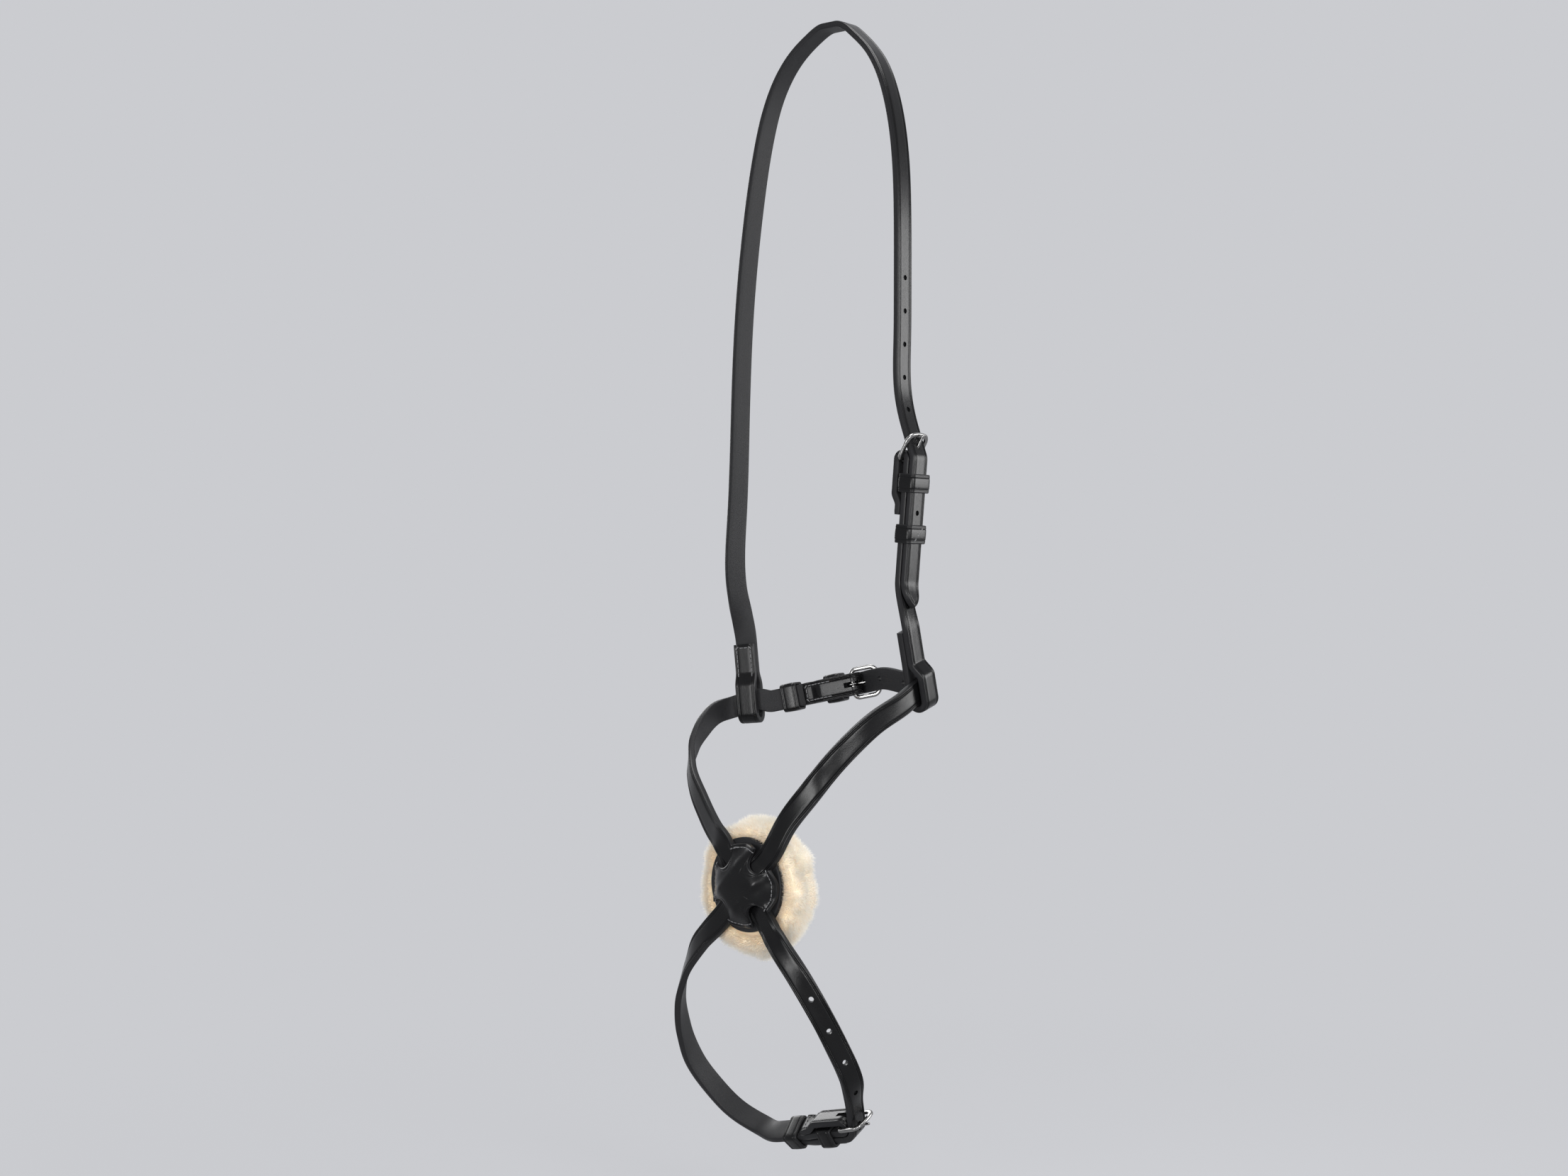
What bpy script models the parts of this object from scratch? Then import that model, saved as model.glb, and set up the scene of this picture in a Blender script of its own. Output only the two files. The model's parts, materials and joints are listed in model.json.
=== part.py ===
"""Figure eight noseband, built piece by piece from strap leather, buckles and a sheepskin patch.

Metres, +Z up. The origin is the middle of the crown's underside, where the horse's poll carries it.
The horse's near (left) side is +X and the front of the nose is -Y.
Every strap is punched while it is flat and is then bent along its route.
"""
import math

import bmesh
import bpy
import numpy as np
from mathutils import Matrix, Vector

# The head that the straps go round
HALF_WIDTH = 0.070
REACH = 0.080
CROWN_DROP = 0.391
NOSE_DROP = 0.245

# Strap leather
STRAP_WIDTH = 0.013
NOSE_THICK = 0.0038
HEAD_THICK = 0.0035
EDGE_ROUND = 0.0006
GAP = 0.0003
OVERRUN = 0.004

# The crown's flat rest on the poll
CROWN_FLAT = 0.009

# Holes and billet ends
NOSE_PITCH = 0.020
HEAD_PITCH = 0.0187
CHEEK_FIRST_HOLE = 0.0220
JAW_FIRST_HOLE = 0.0155
CHIN_FIRST_HOLE = 0.0255
HOLE = 0.0030
TIP_LENGTH = 0.009
TONGUE_PLAY = 0.0006
TONGUE_SWEEP = 0.0014

# Buckles, the same pattern at cheek, jaw and chin
WIRE = 0.0026
FRAME_LENGTH = 0.0142
FRAME_CORNER = 0.0030
FRAME_BOW = 0.0014
TONGUE_WIRE = 0.0019
TONGUE_OVERHANG = 0.0016

# Turned back strap ends at the buckles, with their keepers
TURN_BACK = 0.031
FIXED_KEEPER_AT = 0.0130
SLIDING_KEEPER_AT = 0.0415
KEEPER_WIDTH = 0.0105
KEEPER_THICK = 0.0016
KEEPER_ROUND = 0.0015
LAYER_EASE = 0.007
TWIST_START = 0.019
TWIST_END = 0.036
CHEEK_TAIL = 0.0852
CHEEK_KEEPER_TRAVEL = 0.021
SHORT_TAIL = 0.053
SHORT_KEEPER_TRAVEL = 0.007

# Loops that hang the nose straps from the head straps
LOOP_PLAY = 0.0010
LOOP_TURN = 0.028
LOOP_EASE = 0.009

# Stitching
THREAD = 0.0008
SEAM_INSET = 0.0021

# Patch on the nose, where the two nose straps cross
PATCH_TURN = math.radians(2)
COVER_RADIUS = 0.0236
COVER_THICK = 0.0022
COVER_FALL = 0.0075
NOTCH_PLAY = 0.0003
NOTCH_REACH = 0.0207
BACKING_RADIUS = 0.0266
BACKING_THICK = 0.0030
BACKING_SET_OVER = 0.0024
HIDE_RADIUS = 0.0284
HIDE_THICK = 0.0020
WOOL_RADIUS = 0.0415
WOOL_DEPTH = 0.0150
WOOL_SET_OVER = 0.0030
WOOL_SAG = 0.0025
CROSS_EASE = 0.0015
CROSS_FALL = 0.0110

# Places, as shares of the head's half width, reach and drop: across, forward, down
CHEEK_BUCKLE_SHARES = (0.898, 0.163, 0.6495)
JAW_BUCKLE_SHARES = (-0.030, -0.245, -0.033)
CHIN_BUCKLE_SHARES = (0.516, 0.443, 0.9595)
PATCH_SHARES = (-0.019, 0.975, 0.412)

# Finish: colour, roughness, metallic
LEATHER = ((0.018, 0.017, 0.018), 0.38, 0.0)
LINING = ((0.040, 0.039, 0.042), 0.70, 0.0)
THREAD_BLACK = ((0.050, 0.050, 0.055), 0.60, 0.0)
STEEL = ((0.62, 0.62, 0.63), 0.22, 1.0)
WOOL = ((0.86, 0.78, 0.62), 0.95, 0.0)
HIDE = ((0.78, 0.62, 0.44), 0.85, 0.0)

# Counts
ROUTE_STEPS = 14
TURN_PER_STATION = math.radians(13.0)
TURN_STARTS = math.radians(1.0)
STATION_LIMIT = 0.013
TWIST_STEPS = 20


def clear_scene():
    for item in list(bpy.data.objects):
        bpy.data.objects.remove(item, do_unlink=True)
    for name in ("figure_eight_noseband", "punches"):
        bpy.context.scene.collection.children.link(bpy.data.collections.new(name))


def material(name, finish):
    """A Principled material, made once for each name."""
    found = bpy.data.materials.get(name)
    if found:
        return found
    made = bpy.data.materials.new(name)
    made.use_nodes = True
    shader = made.node_tree.nodes["Principled BSDF"]
    colour, roughness, metallic = finish
    shader.inputs["Base Color"].default_value = (*colour, 1.0)
    shader.inputs["Roughness"].default_value = roughness
    shader.inputs["Metallic"].default_value = metallic
    return made


def add_object(name, data, finish_name, finish, matrix=None):
    data.materials.append(material(finish_name, finish))
    item = bpy.data.objects.new(name, data)
    bpy.data.collections["figure_eight_noseband"].objects.link(item)
    if matrix is not None:
        item.matrix_world = matrix
    return item


def ease(share):
    share = min(max(share, 0.0), 1.0)
    return share * share * (3 - 2 * share)


def nose_place(across, forward, down):
    """A place on the nose straps, from shares of the head's sizes."""
    return Vector((across * HALF_WIDTH, -forward * REACH, -CROWN_DROP - down * NOSE_DROP))


def head_place(across, forward, down):
    """A place on the head straps, from shares of the head's sizes."""
    return Vector((across * HALF_WIDTH, -forward * REACH, -down * CROWN_DROP))


class Route:
    """A strap's middle line with the way its outer face looks, measured along its length."""

    def __init__(self, samples):
        kept = [samples[0]]
        for sample in samples[1:]:
            if (sample[0] - kept[-1][0]).length > GAP / 2:
                kept.append(sample)
        self.points = [sample[0] for sample in kept]
        self.faces = [sample[1].normalized() for sample in kept]
        self.lengths = [0.0]
        for before, after in zip(self.points, self.points[1:]):
            self.lengths.append(self.lengths[-1] + (after - before).length)
        self.length = self.lengths[-1]
        self.ways = []
        last = len(self.points) - 1
        for index in range(len(self.points)):
            before = self.points[max(index - 1, 0)]
            after = self.points[min(index + 1, last)]
            given = kept[index][2:]
            self.ways.append(given[0] if given else (after - before).normalized())

    def at(self, length):
        """Place, way along, way across and way out at a length from the start."""
        length = min(max(length, 0.0), self.length)
        index = int(np.searchsorted(self.lengths, length, side="right")) - 1
        index = min(max(index, 0), len(self.points) - 2)
        span = self.lengths[index + 1] - self.lengths[index]
        share = (length - self.lengths[index]) / span
        place = self.points[index].lerp(self.points[index + 1], share)
        along = self.ways[index].lerp(self.ways[index + 1], share).normalized()
        face = self.faces[index].lerp(self.faces[index + 1], share)
        across = face.cross(along).normalized()
        return place, along, across, along.cross(across)

    def nearest(self, place):
        """Length at which the route passes nearest to a place."""
        index = min(range(len(self.points)), key=lambda i: (self.points[i] - place).length)
        return self.lengths[index]

    def stations(self, tight=()):
        """Lengths at which a flat strap is divided so that it bends smoothly."""
        found = [0.0]
        last = self.at(0.0)
        step = STATION_LIMIT / ROUTE_STEPS
        length = step
        before = 0.0
        while length < self.length:
            here = self.at(length)
            turn = max(last[1].angle(here[1]), last[3].angle(here[3]))
            bend_starts = before <= TURN_STARTS < turn and length - found[-1] > STATION_LIMIT / 3
            if bend_starts:
                found.append(length - step)
                last = self.at(length - step)
            elif turn > TURN_PER_STATION or length - found[-1] > STATION_LIMIT:
                found.append(length)
                last = here
            before = max(last[1].angle(here[1]), last[3].angle(here[3]))
            length += step
        found = [here for here in found if all(abs(here - mark) > STATION_LIMIT / 8 for mark in tight)]
        return sorted(here for here in found + list(tight) if here > 0)


def straight_run(start, end, face):
    """Samples along a straight stretch."""
    return [(start.lerp(end, step / ROUTE_STEPS), face) for step in range(ROUTE_STEPS + 1)]


def free_run(marks, start, end):
    """Smooth samples through hand-chosen (place, face) marks, leaving and arriving along given ways."""
    places = np.array([tuple(place) for place, face in marks])
    count = len(places)
    spans = np.linalg.norm(np.diff(places, axis=0), axis=1)
    matrix = np.zeros((count, count))
    values = np.zeros((count, 3))
    matrix[0, 0] = matrix[-1, -1] = 1.0
    values[0] = tuple(start.normalized())
    values[-1] = tuple(end.normalized())
    for i in range(1, count - 1):
        matrix[i, i - 1] = 1 / spans[i - 1]
        matrix[i, i] = 2 / spans[i - 1] + 2 / spans[i]
        matrix[i, i + 1] = 1 / spans[i]
        values[i] = 3 * (places[i] - places[i - 1]) / spans[i - 1] ** 2
        values[i] += 3 * (places[i + 1] - places[i]) / spans[i] ** 2
    slopes = np.linalg.solve(matrix, values)
    samples = []
    for i in range(count - 1):
        face_from, face_to = marks[i][1].normalized(), marks[i + 1][1].normalized()
        steps = ROUTE_STEPS
        for step in range(steps):
            t = step / steps
            place = (2 * t ** 3 - 3 * t * t + 1) * places[i] + (3 * t * t - 2 * t ** 3) * places[i + 1]
            place = place + (t ** 3 - 2 * t * t + t) * spans[i] * slopes[i]
            place = place + (t ** 3 - t * t) * spans[i] * slopes[i + 1]
            samples.append((Vector(place), face_from.lerp(face_to, ease(t)).normalized()))
    samples.append((Vector(places[-1]), marks[-1][1].normalized()))
    return samples


class Seat:
    """A buckle's place: its heel bar, the way ahead to its front bar and the way out from the head."""

    def __init__(self, heel, ahead, outward, tilt, lean, twist, billet_thick, tail, travel, first, pitch):
        self.heel = heel
        self.twist = twist
        self.ahead = ahead.normalized()
        self.outward = (outward - outward.dot(self.ahead) * self.ahead).normalized()
        self.across = self.ahead.cross(self.outward)
        self.billet_thick = billet_thick
        self.tail = tail
        self.run = SLIDING_KEEPER_AT + KEEPER_WIDTH / 2 + travel
        self.first = first
        self.pitch = pitch
        self.fold = WIRE / 2 + GAP + NOSE_THICK / 2
        self.over = self.fold + NOSE_THICK / 2 + GAP + billet_thick / 2
        self.under = WIRE / 2 + GAP + billet_thick / 2
        self.tilt = tilt
        self.crossing = math.asin((self.over + self.under) / FRAME_LENGTH) + lean
        self.dip = self.crossing - tilt
        self.ring = WIRE / 2 + GAP + TONGUE_WIRE / 2
        self.lead = FRAME_LENGTH * math.cos(self.crossing) + WIRE + OVERRUN

    def ways(self, along):
        """Across and out at a place along the chape, which may twist behind its fixed keeper."""
        turn = self.twist * ease((-along - TWIST_START) / (TWIST_END - TWIST_START))
        out = self.outward * math.cos(turn) + self.across * math.sin(turn)
        return self.ahead.cross(out), out

    def point(self, along, out):
        return self.heel + self.ahead * along + self.ways(along)[1] * out

    def way(self, along, out):
        return self.ahead * along + self.outward * out

    def matrix(self, along=0.0, out=0.0, tilt=0.0):
        """Local X across, Y ahead and Z out, tipped about X."""
        across, outward = self.ways(along)
        turn = Matrix((across, self.ahead, outward)).transposed().to_4x4()
        return Matrix.Translation(self.point(along, out)) @ turn @ Matrix.Rotation(tilt, 4, "X")

    def chape(self):
        """The turned back end: inner layer from its end, round the heel bar, then the outer layer."""
        far = -self.fold
        near = self.fold - NOSE_THICK - GAP
        zone = FIXED_KEEPER_AT + KEEPER_WIDTH / 2 + GAP
        samples = []
        for step in range(2 * ROUTE_STEPS):
            along = -TURN_BACK * (1 - step / (2 * ROUTE_STEPS))
            out = near + (far - near) * ease((along + zone + LAYER_EASE) / LAYER_EASE)
            samples.append((self.point(along, out), -self.ways(along)[1]))
        for step in range(2 * ROUTE_STEPS + 1):
            turn = math.pi * (step / (2 * ROUTE_STEPS) - 0.5)
            way = self.way(math.cos(turn), math.sin(turn))
            samples.append((self.heel + way * self.fold, way))
        behind = [self.run * step / (2 * ROUTE_STEPS) for step in range(1, 2 * ROUTE_STEPS + 1)]
        if self.twist:
            behind = [along for along in behind if not TWIST_START < along < TWIST_END] + self.twist_places()
        for along in sorted(behind):
            samples.append((self.point(-along, self.fold), self.ways(-along)[1]))
        return samples

    def twist_places(self):
        """Distances behind the heel bar at which both layers are divided alike where they twist."""
        span = TWIST_END - TWIST_START
        return [TWIST_START + span * step / TWIST_STEPS for step in range(TWIST_STEPS + 1)]

    def twist_stations(self, route, out):
        if not self.twist:
            return []
        return [route.nearest(self.point(-along, out)) for along in self.twist_places()]

    def billet(self, chape):
        """The buckled end: under the front bar, over the heel bar and on the chape's route to the tip."""
        face = self.way(math.sin(self.dip), math.cos(self.dip))
        back = self.way(math.cos(self.dip), -math.sin(self.dip))
        samples = []
        for step in range(ROUTE_STEPS):
            reach = self.lead * (1 - step / ROUTE_STEPS)
            samples.append((self.heel + face * self.over + back * reach, face))
        for step in range(ROUTE_STEPS + 1):
            turn = self.dip * (1 - step / ROUTE_STEPS)
            way = self.way(math.sin(turn), math.cos(turn))
            samples.append((self.heel + way * self.over, way))
        start = chape.nearest(self.point(0.0, self.fold))
        places = [length for length in chape.lengths if start < length < start + self.tail - GAP]
        for length in places + [start + self.tail]:
            place, along, across, out = chape.at(length)
            lifted = GAP * ease((length - start - self.run) / (self.tail - self.run))
            samples.append((place + out * (self.over - self.fold + lifted), out, along))
        return samples

    def billet_way(self):
        return -self.way(math.cos(self.dip), -math.sin(self.dip))

    def tongue_hole(self):
        """How far before the bend over the heel bar the tongue goes through the billet."""
        rise = (self.over - self.ring * math.cos(self.crossing)) / math.sin(self.crossing)
        return rise * math.cos(self.crossing) - self.ring * math.sin(self.crossing)


class Loop:
    """A strap end that hangs on a nose strap: down its outer face, under it and up its inner face."""

    def __init__(self, nose_route, length, thick, inset_share, upright_share):
        self.middle, self.along, across, self.out = nose_route.at(length)
        square = across if across.z > 0 else -across
        upright = Vector((0.0, 0.0, 1.0)) - self.out * self.out.z
        self.up = square.lerp(upright.normalized(), upright_share).normalized()
        self.drop = STRAP_WIDTH / 2 * math.tan(square.angle(self.up))
        self.thick = thick
        self.wide = NOSE_THICK / 2 + LOOP_PLAY + thick / 2
        self.close = (thick + GAP) / 2
        self.inset = -inset_share * (self.wide - self.close)
        self.top = STRAP_WIDTH / 2 + LOOP_TURN

    def point(self, out, up):
        return self.middle + self.out * out + self.up * up

    def samples(self):
        """From the outer layer above the loop down and round to the turned back end."""
        foot = -STRAP_WIDTH / 2 + NOSE_THICK / 4 - self.drop
        found = []
        count = 3 * ROUTE_STEPS
        for side in (1, -1):
            wall = []
            for step in range(count + 1):
                up = self.top + (foot - self.top) * step / count
                rise = (up - STRAP_WIDTH / 2 - self.drop - LOOP_PLAY) / LOOP_EASE
                shut = self.inset + side * self.close
                out = side * self.wide + (shut - side * self.wide) * ease(rise)
                wall.append((self.point(out, up), self.out * side))
            if side == 1:
                found.extend(wall)
                for step in range(1, 2 * ROUTE_STEPS):
                    turn = math.pi * step / (2 * ROUTE_STEPS)
                    way = self.out * math.cos(turn) - self.up * math.sin(turn)
                    found.append((self.point(0.0, foot) + way * self.wide, way))
            else:
                found.extend(reversed(wall))
        return found


def flat_strap(route, thick, tipped, tight):
    """A flat strap along X, divided at the route's stations, with rounded edges and a narrowed tip."""
    tip_shares = (1.0, 0.72, 0.44, 0.22, 0.09)
    tip_end_share = 0.30
    if tipped:
        tight = tight + [route.length - TIP_LENGTH * share for share in tip_shares]
    mesh = bmesh.new()
    bmesh.ops.create_cube(mesh, size=1.0)
    bmesh.ops.scale(mesh, vec=(route.length, STRAP_WIDTH, thick), verts=mesh.verts)
    bmesh.ops.translate(mesh, vec=(route.length / 2, 0.0, 0.0), verts=mesh.verts)
    long_edges = [e for e in mesh.edges if abs(e.verts[0].co.x - e.verts[1].co.x) > route.length / 2]
    bmesh.ops.bevel(mesh, geom=long_edges, offset=EDGE_ROUND, segments=1, affect="EDGES")
    for length in route.stations(tight):
        geometry = mesh.verts[:] + mesh.edges[:] + mesh.faces[:]
        bmesh.ops.bisect_plane(mesh, geom=geometry, plane_co=(length, 0.0, 0.0), plane_no=(1.0, 0.0, 0.0))
    if tipped:
        for vert in mesh.verts:
            left = (route.length - vert.co.x) / TIP_LENGTH
            if left < 1:
                roundness = math.sqrt(max(1 - (1 - left) ** 2, 0.0))
                vert.co.y *= tip_end_share + (1 - tip_end_share) * roundness
    return mesh


def punch(mesh, cutters):
    """The flat strap less its holes and slots, each given as a matrix for a unit cylinder or cube."""
    strap = bpy.data.objects.new("blank", bpy.data.meshes.new("blank"))
    mesh.to_mesh(strap.data)
    tool_mesh = bmesh.new()
    for shape, matrix in cutters:
        if shape == "round":
            bmesh.ops.create_cone(tool_mesh, cap_ends=True, segments=12, radius1=1.0, radius2=1.0,
                                  depth=2.0, matrix=matrix)
        else:
            bmesh.ops.create_cube(tool_mesh, size=1.0, matrix=matrix)
    tool = bpy.data.objects.new("punch", bpy.data.meshes.new("punch"))
    tool_mesh.to_mesh(tool.data)
    for item in (strap, tool):
        bpy.data.collections["punches"].objects.link(item)
    cut = strap.modifiers.new("cut", "BOOLEAN")
    cut.operation = "DIFFERENCE"
    cut.solver = "EXACT"
    cut.object = tool
    bpy.context.view_layer.update()
    done = bpy.data.meshes.new_from_object(strap.evaluated_get(bpy.context.evaluated_depsgraph_get()))
    for item in (strap, tool):
        bpy.data.objects.remove(item, do_unlink=True)
    result = bmesh.new()
    result.from_mesh(done)
    return result


def round_hole(length):
    size = Matrix.Diagonal((HOLE / 2, HOLE / 2, NOSE_THICK + OVERRUN, 1.0))
    return "round", Matrix.Translation((length, 0.0, 0.0)) @ size


def leaning_hole(length, seat):
    """The hole that a tongue goes through, cut along the tongue and longer the way it swings."""
    lean = Matrix.Rotation(seat.crossing - math.pi / 2, 4, "Y")
    across = TONGUE_WIRE / 2 + TONGUE_PLAY
    size = Matrix.Diagonal((across + TONGUE_SWEEP, across, NOSE_THICK + OVERRUN, 1.0))
    return "round", Matrix.Translation((length, 0.0, 0.0)) @ lean @ size


def fold_slot(length, seat):
    """The slot in a chape's fold that the tongue's ring turns in."""
    reach = math.pi * seat.fold / 2 + seat.ring + TONGUE_WIRE / 2 + GAP
    wide = TONGUE_WIRE + 2 * TONGUE_PLAY
    size = Matrix.Diagonal((2 * reach, wide, NOSE_THICK + OVERRUN, 1.0))
    return "slot", Matrix.Translation((length, 0.0, 0.0)) @ size


def add_strap(name, route, thick, tipped, cutters, tight=()):
    mesh = flat_strap(route, thick, tipped, list(tight))
    if cutters:
        mesh = punch(mesh, cutters)
    for vert in mesh.verts:
        place, along, across, out = route.at(vert.co.x)
        vert.co = place + across * vert.co.y + out * vert.co.z
    data = bpy.data.meshes.new(name)
    mesh.to_mesh(data)
    return add_object(name, data, "bridle_leather", LEATHER)


def tube(name, points, thick, finish_name, finish, matrix=None, cyclic=False, detail=1):
    """A wire or thread through points, with filled ends."""
    curve = bpy.data.curves.new(name, "CURVE")
    curve.dimensions = "3D"
    curve.bevel_depth = thick / 2
    curve.bevel_resolution = detail
    curve.use_fill_caps = True
    spline = curve.splines.new("POLY")
    spline.points.add(len(points) - 1)
    for slot, point in zip(spline.points, points):
        slot.co = (*point, 1.0)
    spline.use_cyclic_u = cyclic
    return add_object(name, curve, finish_name, finish, matrix)


def seam(name, route, start, end, thick):
    """A U of thread up one edge of a strap's outer face, across it and back along the other edge."""
    side = STRAP_WIDTH / 2 - SEAM_INSET
    lift = thick / 2 + THREAD / 2 + GAP / 2
    count = 8
    marks = [(end + (start - end) * step / count, side) for step in range(count + 1)]
    marks += [(start, -side + 2 * side * step / 2) for step in (1, 0)]
    marks += [(start + (end - start) * step / count, -side) for step in range(1, count + 1)]
    points = []
    for length, across in marks:
        place, along, wide, out = route.at(length)
        points.append(place + wide * across + out * lift)
    return tube(name, points, THREAD, "linen_thread", THREAD_BLACK, detail=0)


def buckle_frame(name, seat):
    """A wire frame: straight heel bar, two sides and a bowed front bar."""
    half = STRAP_WIDTH / 2 + 2 * GAP + WIRE / 2
    front = FRAME_LENGTH
    centres = ((half, 0.0, -90), (half, front, 0), (-half, front, 90), (-half, 0.0, 180))
    points = []
    for index, (x, y, start) in enumerate(centres):
        x -= math.copysign(FRAME_CORNER, x)
        y += FRAME_CORNER if y == 0.0 else -FRAME_CORNER
        for step in range(4):
            turn = math.radians(start + 30 * step)
            points.append([x + FRAME_CORNER * math.cos(turn), y + FRAME_CORNER * math.sin(turn), 0.0])
        if index == 1:
            for bar_share in (0.6, 0.3, 0.0, -0.3, -0.6):
                points.append([bar_share * half, front, 0.0])
    for point in points:
        if point[1] > front - FRAME_CORNER:
            bow = FRAME_BOW * (1 - (point[0] / half) ** 2)
            point[1] += bow * ease((point[1] - front + FRAME_CORNER) / FRAME_CORNER)
    return tube(name, points, WIRE, "nickel_steel", STEEL, seat.matrix(tilt=seat.tilt), True, 2)


def buckle_tongue(name, seat):
    """A wire tongue: a ring round the heel bar and a shaft that rests on the front bar."""
    points = [(0.0, seat.ring * math.cos(turn), seat.ring * math.sin(turn))
              for turn in (math.radians(360 - 22.5 * step) for step in range(12))]
    points.append((0.0, 0.0, seat.ring))
    reach = FRAME_LENGTH + FRAME_BOW + TONGUE_OVERHANG
    points.append((0.0, reach / 2, seat.ring))
    points.append((0.0, reach, seat.ring))
    return tube(name, points, TONGUE_WIRE, "nickel_steel", STEEL, seat.matrix(tilt=seat.tilt), False, 1)


def rounded_rectangle(curve, half_x, half_y, corner):
    """A closed outline with four round corners, added to a flat curve."""
    points = []
    for x, y, start in ((1, 1, 0), (-1, 1, 90), (-1, -1, 180), (1, -1, 270)):
        for step in range(4):
            turn = math.radians(start + 30 * step)
            points.append((x * (half_x - corner) + corner * math.cos(turn),
                           y * (half_y - corner) + corner * math.sin(turn)))
    spline = curve.splines.new("POLY")
    spline.points.add(len(points) - 1)
    for slot, (x, y) in zip(spline.points, points):
        slot.co = (x, y, 0.0, 1.0)
    spline.use_cyclic_u = True


def keeper(name, seat, along):
    """A leather band round the chape's outer layer and the billet."""
    low = seat.fold - NOSE_THICK / 2 - GAP
    high = seat.over + seat.billet_thick / 2 + GAP
    half_x = STRAP_WIDTH / 2 + GAP
    half_y = (high - low) / 2
    curve = bpy.data.curves.new(name, "CURVE")
    curve.dimensions = "2D"
    curve.fill_mode = "BOTH"
    curve.extrude = KEEPER_WIDTH / 2
    rounded_rectangle(curve, half_x + KEEPER_THICK, half_y + KEEPER_THICK, KEEPER_ROUND)
    rounded_rectangle(curve, half_x, half_y, EDGE_ROUND)
    upright = Matrix.Rotation(math.pi / 2, 4, "X")
    place = seat.matrix(along=-along, out=(high + low) / 2)
    return add_object(name, curve, "bridle_leather", LEATHER, place @ upright)


class Patch:
    """The patch's plane: strap A lies flat on the backing and strap B crosses over it."""

    def __init__(self):
        self.middle = nose_place(*PATCH_SHARES)
        self.facing = Vector((-math.sin(PATCH_TURN), -math.cos(PATCH_TURN), 0.0))
        self.side = Vector((math.cos(PATCH_TURN), -math.sin(PATCH_TURN), 0.0))
        self.lower_way = Vector((0.62, -0.785)).normalized()
        self.upper_way = Vector((0.69, 0.724)).normalized()
        self.floor = -NOSE_THICK / 2 - GAP
        self.lift = NOSE_THICK + GAP
        self.cross_flat = STRAP_WIDTH / 2 + CROSS_EASE
        self.notch = STRAP_WIDTH / 2 + NOTCH_PLAY
        self.wool_front = self.floor - BACKING_THICK - HIDE_THICK - 2 * GAP

    def point(self, x, z, out):
        return self.middle + self.side * x + self.facing * out + Vector((0.0, 0.0, z))

    def rise(self, distance, spare=0.0):
        """How far strap B stands out from strap A's plane, at a distance from the crossing."""
        return self.lift * (1 - ease((abs(distance) - self.cross_flat - spare) / CROSS_FALL))

    def strap_marks(self, way, crosses_over):
        """Marks that keep a nose strap straight through the patch."""
        flat, fall = self.cross_flat, CROSS_FALL
        outer = [flat / 2, flat, flat + fall / 4, flat + fall / 2, flat + 3 * fall / 4, flat + fall]
        outer.append(max(BACKING_RADIUS + BACKING_SET_OVER, flat + fall) + GAP)
        marks = []
        for distance in [-place for place in outer[::-1]] + [0.0] + outer:
            out = self.rise(distance) if crosses_over else 0.0
            marks.append((self.point(way.x * distance, way.y * distance, out), self.facing))
        return marks

    def height(self, x, z):
        """Underside of the cover above the backing, draped over both straps."""
        total = 0.0
        for way, over in ((self.lower_way, 0), (self.upper_way, 1)):
            along = x * way.x + z * way.y
            aside = abs(x * way.y - z * way.x)
            top = NOSE_THICK + 2 * GAP + over * self.rise(along, NOSE_THICK / 3)
            reach = (aside - STRAP_WIDTH / 2 - 3 * GAP) / COVER_FALL
            total += (GAP + (top - GAP) * (1 - ease(reach))) ** 6
        return total ** (1 / 6)

    def turns(self):
        """Outline angles: nine across each notch and seven along each lobe."""
        half = math.asin(self.notch / NOTCH_REACH)
        centres = sorted(math.atan2(s * w.y, s * w.x) % (2 * math.pi)
                         for w in (self.lower_way, self.upper_way) for s in (1, -1))
        found = []
        for index, centre in enumerate(centres):
            after = centres[(index + 1) % 4] + (2 * math.pi if index == 3 else 0.0)
            found += [(centre - half + half * step / 4, centre) for step in range(9)]
            lobe = after - centre - 2 * half
            inset = lobe / 40
            found += [(centre + half + inset + (lobe - 2 * inset) * step / 6, None) for step in range(7)]
        return found

    def outline(self, turn, notch):
        """Radius of the cover at an angle, drawn in where a strap comes out."""
        if notch is None:
            return COVER_RADIUS
        aside = NOTCH_REACH * math.sin(turn - notch)
        depth = math.sqrt(max(self.notch ** 2 - aside ** 2, 0.0))
        return NOTCH_REACH * math.cos(turn - notch) - depth


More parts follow.
